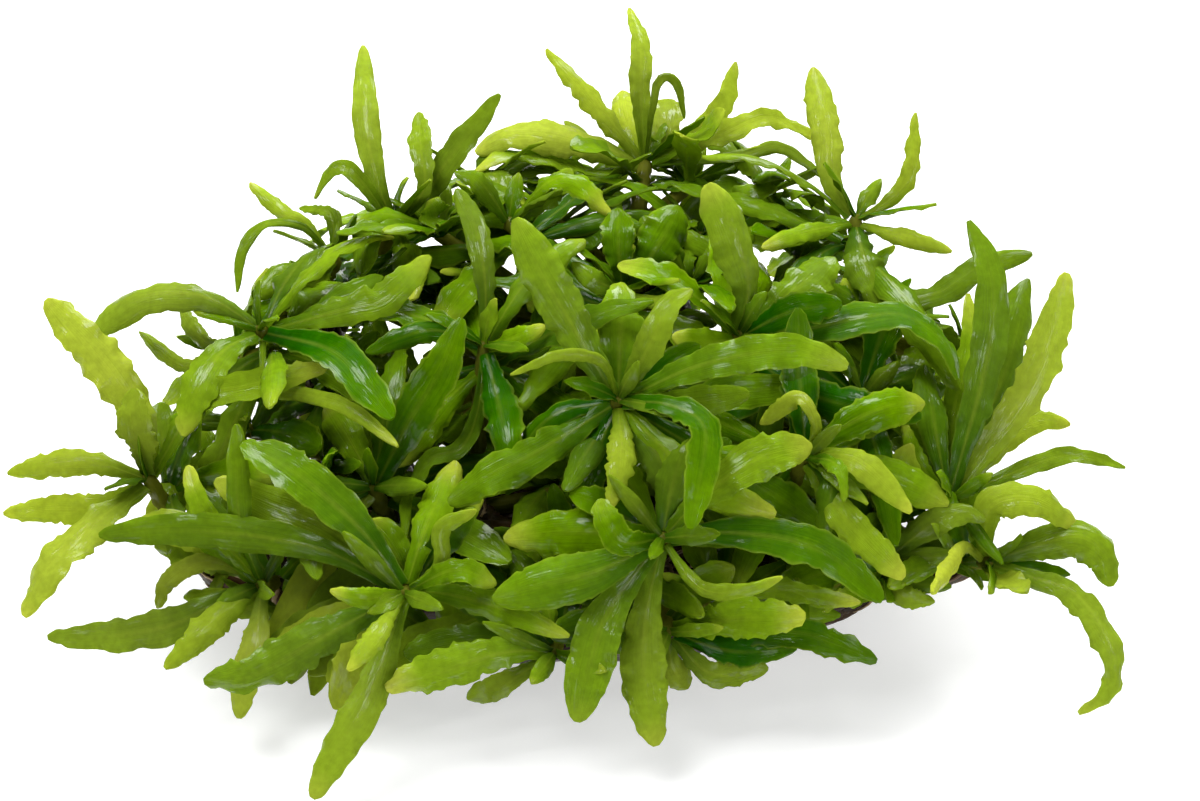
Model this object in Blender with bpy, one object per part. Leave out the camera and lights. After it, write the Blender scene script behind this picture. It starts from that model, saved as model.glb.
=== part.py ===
"""A clump of downoi, an aquarium plant with rosettes of strap-shaped leaves, growing on
a branching piece of driftwood. Lengths are worked out in millimetres and written in metres.
The wood's flat underside lies on z = 0, with the origin in the middle of its trunk.
"""
import math
import random
from itertools import product

import bmesh
import bpy
import numpy as np
from mathutils import Matrix, Vector
from mathutils.bvhtree import BVHTree

MM = 0.001
SEED = 7

# The plant was measured in one picture, taken from the front and above.
PIXELS_PER_MM = 6.0
PICTURE_CENTRE = (600.0, 400.0)
VIEW_TARGET = Vector((0.0, 12.0, 40.0))
VIEW_DISTANCE = 700.0
VIEW_ELEVATION = math.radians(30.0)
RIGHT = Vector((1.0, 0.0, 0.0))
UP = Vector((0.0, math.sin(VIEW_ELEVATION), math.cos(VIEW_ELEVATION)))
NEAR = Vector((0.0, -math.cos(VIEW_ELEVATION), math.sin(VIEW_ELEVATION)))

# Driftwood: the points that each piece's centre passes, with its radius there.
GAP = 0.35
WOOD = {
    "driftwood_trunk": (
        (-50, 3, 12, 9.5),
        (-36, 0, 13.5, 12.5),
        (-22, 3, 13, 17),
        (-7, 1, 12, 15),
        (9, 3, 12.5, 17),
        (25, 4, 13, 13.5),
        (41, 6, 11.5, 10.5),
    ),
    "driftwood_left_fork": ((-44, 2, 12, 8.5), (-54, 0, 12, 8), (-62, 1, 14, 5.5), (-68, 4, 17, 3.5)),
    "driftwood_right_fork": ((34, 6, 12, 9), (46, 5, 13, 8.5), (55, 4, 13, 6), (61, 3, 15, 3.8)),
    "driftwood_back_stump": ((10, 8, 12, 11), (12, 23, 9.5, 14), (9, 36, 22, 12), (9, 43, 38, 8), (6, 46, 53, 5.5)),
    "driftwood_left_back_fork": (
        (-24, 6, 11, 9),
        (-36, 19, 8.5, 12),
        (-43, 30, 21, 9),
        (-48, 32, 36, 7.5),
        (-48, 30, 46, 4),
    ),
    "driftwood_right_back_fork": ((12, 36, 27, 7.5), (26, 36, 35, 7), (37, 33, 43, 5), (44, 34, 50, 3.5)),
}
# The piece that each fork grows from, where it is cut to leave a thin gap.
GROWS_FROM = {
    "driftwood_left_fork": "driftwood_trunk",
    "driftwood_right_fork": "driftwood_trunk",
    "driftwood_back_stump": "driftwood_trunk",
    "driftwood_left_back_fork": "driftwood_trunk",
    "driftwood_right_back_fork": "driftwood_back_stump",
}
WOOD_SIDES = 8
WOOD_ROUGHNESS = (-0.1, 0.04)
WOOD_END = 0.7

# Crowns: where each rosette's leaves meet, as a picture point and a depth towards the viewer in mm.
CROWNS = {
    "middle": (618, 402, 25),
    "front": (662, 538, 31),
    "front_left": (405, 592, 28),
    "left_end": (150, 480, 5),
    "lower_left": (262, 585, 15),
    "right_end": (948, 500, 10),
    "lower_right": (985, 562, 8),
    "top": (645, 165, -30),
    "upper_left": (395, 228, -15),
    "far_left": (335, 262, -15),
    "left": (262, 332, 4),
    "inner_left": (485, 348, 12),
    "centre_left": (375, 488, 12),
    "upper_right": (855, 222, -12),
    "inner_right": (738, 338, 8),
    "right": (805, 457, 22),
    "low_front": (555, 650, 28),
    "low_right": (668, 630, 24),
    "right_side": (885, 560, 12),
    "upper_middle": (622, 292, 2),
    "upper_inner": (510, 225, -8),
}
# Rosettes on the far side, out of the picture's sight, placed in mm.
HIDDEN_CROWNS = {
    "back": (14, 70, 38),
    "back_low": (-14, 64, 22),
    "back_left": (-46, 54, 34),
    "back_right": (46, 56, 38),
    "left_back_side": (-62, 44, 30),
    "right_back_side": (62, 32, 34),
}

# Leaves of each rosette: the name of a leaf that is a piece of its own (or ""), the depth of
# its tip, its width in mm, and the picture points that it passes after the crown.
LEAVES = {
    "middle": (
        ("middle_up_left", 28, 7.5, ((575, 330), (540, 270), (515, 218))),
        ("middle_right", 36, 6.0, ((700, 365), (790, 350), (848, 366))),
        ("middle_drooping", 44, 7.0, ((665, 404), (703, 425), (700, 475), (690, 528))),
        ("", 26, 6.7, ((540, 450), (490, 475), (448, 502))),
        ("", 36, 4.2, ((602, 362), (560, 355), (512, 375))),
        ("", 20, 5.0, ((560, 412), (525, 445), (510, 480))),
        ("", 26, 5.0, ((650, 345), (670, 305), (692, 288))),
        ("", 38, 5.0, ((690, 402), (750, 393))),
        ("", 30, 7.0, ((665, 465), (700, 520))),
        ("", 36, 4.7, ((622, 450), (618, 480), (610, 508))),
        ("", 33, 6.0, ((655, 440), (710, 488), (777, 512))),
        ("", 24, 6.5, ((598, 450), (578, 505))),
        ("", 17, 6.5, ((700, 450), (770, 492), (828, 528))),
    ),
    "front": (
        ("front_down_left", 34, 7.6, ((608, 612), (590, 665), (577, 723))),
        ("front_down", 32, 7.4, ((645, 620), (645, 685), (660, 745))),
        ("front_left_broad", 36, 8.0, ((600, 570), (540, 585), (492, 598))),
        ("front_right_blunt", 30, 7.0, ((720, 532), (790, 540), (840, 562), (885, 600))),
        ("", 42, 5.5, ((700, 587), (745, 590), (782, 577))),
        ("", 26, 8.0, ((600, 532), (560, 532), (505, 538))),
        ("", 39, 5.0, ((625, 542), (608, 522), (600, 500))),
    ),
    "front_left": (
        ("front_left_dark", 27, 7.4, ((370, 540), (330, 500), (285, 465), (240, 440))),
        ("front_left_low", 33, 7.2, ((320, 638), (250, 676), (203, 684))),
        ("front_left_long", 37, 6.2, ((372, 690), (340, 745), (309, 797))),
        ("", 15, 6.0, ((330, 552), (250, 535), (170, 530), (98, 536))),
        ("", 18, 7.0, ((330, 530), (270, 505), (215, 480))),
        ("", 36, 3.5, ((365, 598), (330, 590))),
        ("", 42, 3.8, ((375, 635), (347, 668))),
        ("", 34, 4.2, ((455, 570), (497, 583))),
        ("", 37, 5.8, ((440, 565), (442, 528), (475, 512))),
        ("", 22, 6.5, ((355, 650), (330, 710))),
        ("", 20, 6.0, ((350, 612), (300, 640), (268, 655))),
        ("", 17, 6.0, ((425, 530), (455, 460))),
    ),
    "left_end": (
        ("left_end_upper", 8, 7.2, ((143, 422), (114, 375), (82, 338), (46, 299))),
        ("", 4, 4.7, ((100, 464), (60, 463), (5, 475))),
        ("left_end_lower", 14, 7.3, ((95, 524), (50, 566), (18, 613))),
        ("", 14, 5.0, ((200, 402), (250, 385), (328, 365))),
        ("", 9, 5.0, ((100, 506), (50, 509), (3, 513))),
        ("", 12, 6.5, ((135, 425), (134, 388))),
    ),
    "lower_left": (
        ("lower_left_long", 16, 6.2, ((215, 604), (170, 625), (110, 635), (47, 637))),
        ("lower_left_down", 24, 7.6, ((255, 640), (245, 670), (238, 718))),
        ("", 24, 5.0, ((215, 620), (190, 645), (165, 668))),
        ("", 12, 3.3, ((228, 565), (200, 562), (168, 580), (157, 608))),
        ("", 20, 4.2, ((205, 515), (185, 465))),
        ("", 28, 4.2, ((240, 520), (235, 425))),
        ("", 26, 4.2, ((285, 545), (306, 548), (318, 580))),
    ),
    "right_end": (
        ("right_end_tall", 6, 6.5, ((982, 380), (993, 310), (988, 262), (969, 219))),
        ("right_end_outer", 2, 6.6, ((1020, 400), (1050, 335), (1069, 271))),
        ("", 6, 3.2, ((1030, 466), (1075, 455), (1128, 465))),
        ("", -6, 7.5, ((1005, 370), (1030, 278))),
        ("", -4, 4.4, ((1005, 440), (1040, 420), (1069, 424))),
        ("", 4, 5.8, ((935, 430), (925, 365))),
        ("", 10, 2.8, ((918, 460), (903, 420))),
        ("", -2, 4.4, ((954, 410), (970, 350), (968, 293))),
    ),
    "lower_right": (
        ("lower_right_drooping", 14, 5.0, ((1032, 577), (1074, 593), (1106, 635), (1116, 672), (1107, 697), (1079, 714))),
        ("", 12, 7.0, ((1033, 546), (1078, 536), (1108, 556), (1114, 588))),
        ("", 12, 6.0, ((990, 508), (1035, 499), (1082, 526))),
        ("", 22, 6.5, ((968, 546), (952, 566), (934, 592))),
        ("", 20, 5.5, ((992, 574), (1026, 589))),
    ),
    "top": (
        ("top_spike", -34, 4.0, ((640, 90), (641, 45), (632, 3))),
        ("top_left_broad", -24, 8.6, ((600, 146), (550, 131), (505, 131), (474, 150))),
        ("", -30, 4.6, ((608, 118), (573, 76), (546, 50))),
        ("", -38, 2.6, ((600, 150), (565, 120))),
        ("", -42, 4.8, ((628, 120), (622, 88))),
        ("", -26, 3.2, ((652, 112), (660, 80), (676, 82), (688, 120))),
        ("", -36, 4.0, ((700, 130), (725, 100), (735, 63))),
        ("", -24, 5.8, ((700, 135), (722, 108))),
        ("", -42, 6.5, ((662, 130), (666, 96))),
        ("", -34, 4.4, ((720, 136), (768, 118), (820, 136))),
        ("", -26, 2.6, ((740, 155), (780, 147), (830, 178))),
        ("", -18, 6.0, ((600, 172), (555, 160), (505, 153), (474, 163))),
    ),
    "upper_left": (
        ("upper_left_spike", -22, 4.7, ((377, 180), (366, 120), (364, 42))),
        ("", -10, 5.2, ((412, 222), (445, 165), (500, 94))),
        ("", -14, 8.0, ((424, 190), (421, 150), (417, 110))),
        ("", -12, 3.0, ((358, 178), (336, 168), (311, 197))),
        ("", -2, 6.3, ((368, 228), (362, 275))),
        ("", 0, 5.5, ((408, 260), (412, 300))),
    ),
    "far_left": (
        ("", -18, 3.0, ((305, 222), (285, 212), (250, 180))),
        ("", -6, 3.0, ((305, 228), (265, 224), (243, 250), (238, 292))),
        ("", -4, 5.0, ((290, 270), (255, 295))),
        ("", 2, 4.0, ((310, 290), (285, 302))),
        ("", -22, 2.6, ((330, 215), (300, 208))),
    ),
    "left": (
        ("left_arched", 2, 5.8, ((225, 306), (190, 294), (140, 298), (82, 338))),
        ("left_glossy", 26, 8.3, ((330, 350), (365, 385), (392, 415))),
        ("", 14, 6.7, ((225, 350), (200, 385), (182, 435))),
        ("", 26, 5.8, ((268, 385), (310, 395), (350, 408), (395, 440))),
        ("", 6, 5.8, ((350, 308), (385, 298), (430, 255))),
        ("", -4, 3.7, ((190, 366), (140, 332))),
        ("", -10, 2.8, ((215, 345), (190, 325), (180, 303))),
    ),
    "inner_left": (
        ("inner_left_down", 27, 6.2, ((498, 400), (507, 440), (512, 478))),
        ("", 4, 4.2, ((485, 280), (475, 225), (455, 185))),
        ("", 20, 5.0, ((520, 336), (545, 325))),
        ("", 8, 5.0, ((540, 345), (580, 315))),
        ("", 16, 4.2, ((430, 330), (365, 352))),
        ("", 20, 3.2, ((478, 410), (462, 447), (430, 460), (408, 500), (404, 545))),
    ),
    "centre_left": (
        ("", 22, 7.5, ((410, 420), (440, 370), (462, 318))),
        ("", 6, 6.0, ((350, 440), (325, 400))),
        ("", 10, 6.0, ((335, 500), (300, 480))),
    ),
    "upper_right": (
        ("upper_right_spike", -22, 5.6, ((831, 180), (826, 130), (813, 66))),
        ("", -14, 3.2, ((895, 195), (912, 165), (915, 113))),
        ("", 0, 6.7, ((866, 265), (885, 310))),
        ("", -8, 3.4, ((905, 236), (953, 250))),
        ("", -14, 5.8, ((885, 292), (935, 294), (980, 266), (1035, 251))),
        ("", 0, 3.4, ((805, 232), (762, 247))),
    ),
    "inner_right": (
        ("inner_right_up", 12, 8.3, ((748, 285), (735, 235), (712, 182))),
        ("inner_right_arched", 12, 7.5, ((800, 330), (860, 318), (905, 316), (945, 345), (958, 378))),
        ("", 18, 7.5, ((790, 385), (860, 408), (922, 415))),
        ("", 2, 7.5, ((785, 298), (835, 255))),
        ("", 14, 6.0, ((790, 312), (842, 303))),
        ("", 14, 5.0, ((705, 342), (672, 336))),
    ),
    "right": (
        ("", 40, 6.0, ((816, 425), (798, 398), (760, 425))),
        ("", 32, 5.0, ((835, 455), (865, 465), (912, 510))),
        ("", 30, 5.5, ((835, 505), (870, 545), (905, 578))),
        ("", 36, 2.8, ((832, 462), (843, 480), (845, 500))),
        ("", 26, 4.2, ((830, 478), (828, 505), (822, 535))),
    ),
    "low_front": (
        ("low_front_left", 36, 7.0, ((505, 652), (450, 668), (386, 690))),
        ("", 26, 4.2, ((510, 680), (465, 700))),
        ("", 36, 5.0, ((545, 600), (530, 628))),
        ("", 30, 5.5, ((520, 610), (480, 600))),
    ),
    "low_right": (
        ("", 34, 6.5, ((740, 618), (805, 618))),
        ("", 24, 5.5, ((730, 650), (797, 648))),
        ("", 20, 5.0, ((710, 672), (768, 668))),
        ("", 26, 5.5, ((790, 632), (830, 642), (876, 661))),
        ("", 20, 7.5, ((760, 590), (820, 597), (862, 606))),
        ("", 18, 4.5, ((672, 665), (690, 690))),
    ),
    "right_side": (
        ("", 14, 5.0, ((930, 525), (965, 512), (985, 520))),
        ("", 16, 5.5, ((900, 594), (936, 602))),
        ("", 20, 5.0, ((860, 590), (835, 600))),
    ),
    "upper_middle": (
        ("", 4, 5.8, ((619, 250), (618, 207))),
        ("", 0, 8.0, ((655, 250), (680, 205))),
        ("", 14, 4.2, ((655, 300), (690, 293))),
        ("", 6, 4.0, ((595, 280), (572, 262))),
    ),
    "upper_inner": (
        ("", -6, 5.0, ((545, 198), (572, 168))),
        ("", -2, 4.0, ((480, 182), (455, 172))),
        ("", -2, 5.0, ((545, 185), (575, 180), (612, 212))),
    ),
}

# Leaf shape: station along the leaf, and its half width there as a share of the widest.
BLADE = ((0.0, 0.27), (0.14, 0.46), (0.34, 0.84), (0.6, 1.0), (0.82, 0.84), (0.94, 0.5), (1.0, 0.0))
SMALL_BLADE = ((0.0, 0.27), (0.24, 0.64), (0.5, 1.0), (0.76, 0.9), (0.93, 0.5), (1.0, 0.0))
FILL_BLADE = ((0.0, 0.27), (0.3, 0.74), (0.62, 1.0), (0.88, 0.62), (1.0, 0.0))
LEAF_TOP = 0.15
LEAF_BOTTOM = 0.85
SMALL_BOTTOM = 0.6
CHANNEL = 0.22
SMALL_CHANNEL = 0.1
ARCH = 3.0
# A sharp bend turns the blade's face to the bend's outer side.
FOLD = 1.3
FOLD_TURN = 0.3
BEND_REACH = 0.12
SQUEEZES = (1.0, 0.85, 0.7, 0.5)
CLEARANCE = 0.42
LOWEST = 0.7
PATH_STEPS = 40
SHIFTS = (0, 2, -2, 4, -4, 6, -6, 8, -8, 11, -11, 14, -14, 18, -18)
BENDS = (0, 3, -3)
# How far from the crown's middle a leaf starts: clear of the bud, or sunk in it.
TRIMS = (4.0, 6.0, 9.0)
FUSED_TRIM = 1.2

# Stems, from the wood to the crown, ending in a bud.
STEM_SIDES = 4
STEM_FOOT_RADIUS = 1.9
STEM_RADIUS = 1.5
STEM_SUNK = 1.5
STEM_SLIDES = (0.0, 0.25, -0.25, 0.5, -0.5)
STEM_STRAIGHT = 0.3
CROWN_RADIUS = 2.3
BUD_LENGTH = 5.0
CLUMP_HEART = Vector((0.0, 17.0, 5.0))
HEART_SPREAD = 0.6

# Leaves that the picture doesn't show: on the far side, filling each rosette round its axis.
FILL_TURN = math.radians(137.5)
FILL_TRIES = 40
FILL_LEAST_ANGLE = math.radians(30)
FILL_LENGTHS = (28.0, 40.0)
FILL_WIDTHS = (5.0, 7.5)
FILL_OPENINGS = (math.radians(48), math.radians(76))
FILL_DROOP = 0.42
FILL_MOST = {"seen": 2, "hidden": 5}
# The clump's closed mass in the picture, which the leaves out of sight stay behind.
MASS_OUTLINE = (
    (150, 400), (250, 330), (250, 262), (300, 232), (370, 205), (450, 185), (520, 150), (600, 130),
    (700, 120), (770, 150), (850, 210), (880, 270), (950, 310), (985, 400), (1000, 470), (985, 560),
    (900, 598), (800, 640), (690, 680), (560, 668), (430, 680), (330, 700), (250, 680), (180, 600), (130, 530),
)


def view_point(across, down, near):
    """The point that is seen at a picture point, at a depth towards the viewer."""
    scale = (VIEW_DISTANCE - near) / VIEW_DISTANCE / PIXELS_PER_MM
    return (
        VIEW_TARGET
        + RIGHT * (across - PICTURE_CENTRE[0]) * scale
        + UP * (PICTURE_CENTRE[1] - down) * scale
        + NEAR * near
    )


def seen_at(point):
    """The picture point where a point is seen."""
    offset = point - VIEW_TARGET
    scale = PIXELS_PER_MM * VIEW_DISTANCE / (VIEW_DISTANCE - offset.dot(NEAR))
    return PICTURE_CENTRE[0] + offset.dot(RIGHT) * scale, PICTURE_CENTRE[1] - offset.dot(UP) * scale


def in_mass(point):
    """Whether a point is seen inside the clump's closed mass."""
    x, y = seen_at(point)
    inside = False
    for (x0, y0), (x1, y1) in zip(MASS_OUTLINE, MASS_OUTLINE[1:] + MASS_OUTLINE[:1]):
        if (y0 > y) != (y1 > y) and x < x0 + (y - y0) * (x1 - x0) / (y1 - y0):
            inside = not inside
    return inside


def smooth_path(points, steps=PATH_STEPS):
    """Evenly spaced points on a smooth curve through the given ones."""
    ends = [points[0] * 2 - points[1]] + list(points) + [points[-1] * 2 - points[-2]]
    dense = []
    for a, b, c, d in zip(ends, ends[1:], ends[2:], ends[3:]):
        for i in range(12):
            t = i / 12
            dense.append(
                (b * 2 + (c - a) * t + (a * 2 - b * 5 + c * 4 - d) * t * t + (b * 3 - a - c * 3 + d) * t ** 3) / 2
            )
    dense.append(points[-1].copy())
    lengths = [0.0]
    for a, b in zip(dense, dense[1:]):
        lengths.append(lengths[-1] + (b - a).length)
    even = []
    index = 0
    for i in range(steps + 1):
        wanted = lengths[-1] * i / steps
        while index < len(dense) - 2 and lengths[index + 1] < wanted:
            index += 1
        span = lengths[index + 1] - lengths[index]
        even.append(dense[index].lerp(dense[index + 1], (wanted - lengths[index]) / max(span, 1e-9)))
    return even


def at_share(path, share):
    """The point at a share of an even path, and the path's direction there."""
    place = share * (len(path) - 1)
    index = min(int(place), len(path) - 2)
    point = path[index].lerp(path[index + 1], place - index)
    before = path[max(index - 1, 0)]
    after = path[min(index + 2, len(path) - 1)]
    return point, (after - before).normalized()


def arched_out(path, share, length, face):
    """The outer side of the path's bend, as long as the bend is sharp, turned to the face's side."""
    before = at_share(path, max(share - BEND_REACH, 0.0))[1]
    after = at_share(path, min(share + BEND_REACH, 1.0))[1]
    outer = (before - after) / (length * 2 * BEND_REACH)
    return -outer if outer.dot(face) < -FOLD_TURN * outer.length else outer


def axis_of(crown):
    """The way a rosette faces: out from the heart of the clump."""
    heart = Vector((crown.x * HEART_SPREAD, CLUMP_HEART.y, CLUMP_HEART.z))
    return (crown - heart).normalized()


def picture_leaf(crown_reading, row):
    """A leaf's points from its reading: the crown, then the picture points at rising depth."""
    name, tip_near, width, readings = row
    flat = [Vector(crown_reading[:2])] + [Vector(reading) for reading in readings]
    lengths = [0.0]
    for a, b in zip(flat, flat[1:]):
        lengths.append(lengths[-1] + (b - a).length)
    points = []
    for place, length in zip(flat, lengths):
        share = length / lengths[-1]
        near = crown_reading[2] + (tip_near - crown_reading[2]) * share + ARCH * 4 * share * (1 - share)
        points.append(view_point(place.x, place.y, near))
    return points


def moved(points, shift, bend):
    """The leaf swung in depth: its tip by shift and its middle by bend, and its base kept."""
    count = len(points) - 1
    result = []
    for i, point in enumerate(points):
        share = i / count
        eye = VIEW_TARGET + NEAR * VIEW_DISTANCE
        sight = (eye - point).normalized()
        result.append(point + sight * (shift * share ** 1.2 + bend * 4 * share * (1 - share)))
    return result


def leaf_rings(points, width, face, blade, start=0.0, more=0.0):
    """The sections of a leaf, each with a clearance added: edges and keel, and on a large
    leaf also a sunk top."""
    large = blade is BLADE
    channel, bottom = (CHANNEL, LEAF_BOTTOM) if large else (SMALL_CHANNEL, SMALL_BOTTOM)
    path = smooth_path(points)
    length = sum((b - a).length for a, b in zip(path, path[1:]))
    first = start / length
    normal = face
    rings = []
    for share, wide in blade:
        share = first + (1 - first) * share
        centre, along = at_share(path, share)
        wished = face + arched_out(path, share, length, face) * width * FOLD
        wished = (wished - along * wished.dot(along)) / max(wished.length, 1.0)
        kept = normal - along * normal.dot(along)
        normal = (wished * wished.length + kept * (1.05 - wished.length)).normalized()
        side = along.cross(normal)
        half = width / 2 * wide
        if wide == 0.0:
            rings.append([centre + along * more])
            continue
        lift = normal * (channel * half + (0.0 if large else more))
        ring = [
            centre - normal * (bottom + more),
            centre - side * (half + more) + lift,
            centre + side * (half + more) + lift,
        ]
        if large:
            ring.insert(2, centre + normal * (LEAF_TOP + more))
        rings.append(ring)
    return rings


def loft(rings):
    """Vertices and triangles of a solid through rings of equal size, up to a last point."""
    vertices = [point for ring in rings for point in ring]
    size = len(rings[0])
    faces = [(0, i, i + 1) for i in range(1, size - 1)]
    for row in range(len(rings) - 1):
        base = row * size
        for i in range(size):
            j = (i + 1) % size
            if len(rings[row + 1]) == 1:
                faces.append((base + i, base + size, base + j))
            else:
                faces.append((base + i, base + size + i, base + size + j))
                faces.append((base + i, base + size + j, base + j))
    return vertices, faces


def tree(rings):
    """A search tree of a solid's faces."""
    vertices, faces = loft(rings)
    return BVHTree.FromPolygons(vertices, faces)


def cuts_itself(rings):
    """Whether any two faces of a solid that share no corner cross."""
    vertices, faces = loft(rings)
    whole = BVHTree.FromPolygons(vertices, faces)
    return any(not set(faces[a]) & set(faces[b]) for a, b in whole.overlap(whole))


def box_of(rings):
    """The lowest and highest coordinates of a solid's sections."""
    points = [point for ring in rings for point in ring]
    low = Vector(min(p[i] for p in points) for i in range(3))
    high = Vector(max(p[i] for p in points) for i in range(3))
    return low, high


def boxes_meet(one, other):
    """Whether two boxes share any space."""
    return all(one[0][i] <= other[1][i] and other[0][i] <= one[1][i] for i in range(3))


class Obstacles:
    """What already stands in the clump, so that each new piece keeps clear of it."""

    def __init__(self):
        self.solids = []

    def add(self, owner, rings, outer=None):
        self.solids.append((owner, box_of(rings), tree(rings), tree(outer) if outer else None))

    def meets(self, rings, owner, outer):
        """Whether a leaf touches another piece, or, past its base, a leaf of its own rosette."""
        box = box_of(rings)
        whole = tree(rings)
        tip = tree(outer)
        for other, other_box, other_tree, other_outer in self.solids:
            if not boxes_meet(box, other_box):
                continue
            if other != owner:
                if whole.overlap(other_tree):
                    return True
            elif other_outer and tip.overlap(other_outer):
                return True
        return False


def wood_segments():
    """The wood's centre lines as short tapering stretches."""
    starts, ends, first_radii, last_radii = [], [], [], []
    for points in WOOD.values():
        for a, b in zip(points, points[1:]):
            starts.append(a[:3])
            ends.append(b[:3])
            first_radii.append(a[3])
            last_radii.append(b[3])
    return np.array(starts, float), np.array(ends, float), np.array(first_radii), np.array(last_radii)


WOOD_SEGMENTS = wood_segments()


def wood_distances(point, slide=0.0):
    """The distance from each stretch's surface, and the nearest point of its centre line."""
    starts, ends, first_radii, last_radii = WOOD_SEGMENTS
    way = ends - starts
    offset = np.array(point) - starts
    share = (offset * way).sum(axis=1) / (way * way).sum(axis=1) + slide
    share = np.clip(share, 0.0, 1.0)
    nearest = starts + way * share[:, None]
    distance = np.linalg.norm(np.array(point) - nearest, axis=1)
    return distance - first_radii - (last_radii - first_radii) * share, nearest


def wood_distance(point):
    """The distance from the wood's surface."""
    return float(wood_distances(point)[0].min())


def wood_feet(crown):
    """Places on the wood that a stem may grow from, the nearest first."""
    feet = []
    for slide in STEM_SLIDES:
        distances, nearest = wood_distances(crown, slide)
        feet += [(float(d), Vector(place)) for d, place in zip(distances, nearest)]
    return sorted(feet, key=lambda foot: foot[0])


def clear_of_wood(rings):
    """Whether every section of a leaf stays above the floor and off the wood."""
    for ring in rings:
        for point in ring:
            if point.z < LOWEST:
                return False
    for ring in rings[1:]:
        for point in ring:
            if wood_distance(point) < CLEARANCE:
                return False
    return True


def stem_rings(crown, axis, distance, nearest, more=0.0):
    """A stem from inside the wood's surface up to the crown, with its bud."""
    way = (crown - nearest).normalized()
    foot = crown - way * (distance + STEM_SUNK)
    lean = (foot + crown) / 2 + axis * 1.0
    rings = []
    stations = (
        (foot, way, STEM_FOOT_RADIUS),
        (lean, way, STEM_RADIUS),
        (crown, axis, CROWN_RADIUS),
    )
    across = way.orthogonal().normalized()
    for centre, along, radius in stations:
        across = (across - along * across.dot(along)).normalized()
        other = along.cross(across)
        ring = []
        for i in range(STEM_SIDES):
            angle = math.tau * i / STEM_SIDES
            ring.append(centre + (across * math.cos(angle) + other * math.sin(angle)) * (radius + more))
        rings.append(ring)
    rings.append([crown + axis * (BUD_LENGTH + more)])
    return rings


def raise_stem(obstacles, name, crown, axis):
    """The shortest stem that is clear of the stems before it and doesn't bend back."""
    for distance, nearest in wood_feet(crown):
        if (crown - nearest).normalized().dot(axis) < STEM_STRAIGHT:
            continue
        fat = stem_rings(crown, axis, distance, nearest, CLEARANCE)
        if wood_distance((fat[0][0] + crown) / 2) > 0 and not obstacles.meets(fat, name, fat):
            break
    rings = stem_rings(crown, axis, distance, nearest)
    obstacles.add(name, rings)
    return rings


def place(obstacles, owner, points, width, face, blade):
    """The first swing of a leaf that is clear of everything, or None."""
    for trim, shift, bend in product(TRIMS if blade is BLADE else (FUSED_TRIM,), SHIFTS, BENDS):
        swung = moved(points, shift, bend)
        fat = leaf_rings(swung, width, face, blade, trim, CLEARANCE)
        if not clear_of_wood(fat) or obstacles.meets(fat, owner, fat[2:]):
            continue
        for squeeze in SQUEEZES:
            rings = leaf_rings(swung, width * squeeze, face, blade, trim)
            if not cuts_itself(rings):
                return rings, swung
    return None


def fill_points(crown, axis, turn, chance):
    """A leaf out of the picture's sight, opening from the axis and drooping to its tip."""
    across = axis.orthogonal().normalized()
    radial = Matrix.Rotation(turn, 3, axis) @ across
    opening = chance.uniform(*FILL_OPENINGS)
    length = chance.uniform(*FILL_LENGTHS)
    way = axis * math.cos(opening) + radial * math.sin(opening)
    points = []
    for share in (0.0, 0.3, 0.65, 1.0):
        droop = Vector((0, 0, -1)) * FILL_DROOP * length * share ** 2
        points.append(crown + way * length * share + droop)
    return points


def grow():
    """Every rosette's stem, leaves of their own, leaves fused to it and the ways they turn."""
    chance = random.Random(SEED)
    crowns = {name: view_point(*reading) for name, reading in CROWNS.items()}
    crowns.update({name: Vector(point) for name, point in HIDDEN_CROWNS.items()})
    axes = {name: axis_of(crown) for name, crown in crowns.items()}
    obstacles = Obstacles()
    grown = {}
    for name in sorted(crowns, key=lambda name: wood_distance(crowns[name])):
        stem = raise_stem(obstacles, name, crowns[name], axes[name])
        grown[name] = {"stem": stem, "single": {}, "fused": [], "turns": []}

    def settle(name, row_name, points, width, face, blade):
        owner = row_name or name
        found = place(obstacles, owner, points, width, face, blade)
        if found is None:
            return False
        rings, swung = found
        obstacles.add(owner, rings, rings[2:])
        if row_name:
            grown[name]["single"][row_name] = rings
        else:
            grown[name]["fused"].append(rings)
        grown[name]["turns"].append((swung[1] + swung[-1]) / 2 - crowns[name])
        return True

    for single in (True, False):
        for name, rows in LEAVES.items():
            for row in rows:
                if bool(row[0]) != single:
                    continue
                face = (NEAR * 0.7 + axes[name] * 0.5).normalized()
                points = picture_leaf(CROWNS[name], row)
                if not settle(name, row[0], points, row[2], face, BLADE if single else SMALL_BLADE):
                    raise RuntimeError(f"no clear place for a leaf of {name} {row}")
    for name, crown in crowns.items():
        axis = axes[name]
        most = FILL_MOST["seen" if name in CROWNS else "hidden"]
        added = 0
        for i in range(FILL_TRIES):
            points = fill_points(crown, axis, FILL_TURN * i, chance)
            width = chance.uniform(*FILL_WIDTHS)
            if added >= most:
                continue
            if not all(in_mass(point) for point in points[1:]):
                continue
            way = points[2] - crown
            if name in CROWNS and way.dot(NEAR) > 4:
                continue
            way = (way - axis * way.dot(axis)).normalized()
            turns = [t - axis * t.dot(axis) for t in grown[name]["turns"]]
            if any(way.angle(turn) < FILL_LEAST_ANGLE for turn in turns if turn.length > 1):
                continue
            added += settle(name, "", points, width, axis, FILL_BLADE)
    return grown


def mesh_object(name, rings, collection, material=None):
    """An object made from a loft, in metres."""
    vertices, faces = loft(rings)
    mesh = bpy.data.meshes.new(name)
    mesh.from_pydata([point * MM for point in vertices], [], faces)
    bm = bmesh.new()
    bm.from_mesh(mesh)
    bmesh.ops.recalc_face_normals(bm, faces=bm.faces)
    bm.to_mesh(mesh)
    bm.free()
    if material:
        mesh.materials.append(material)
    item = bpy.data.objects.new(name, mesh)
    collection.objects.link(item)
    return item


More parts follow.
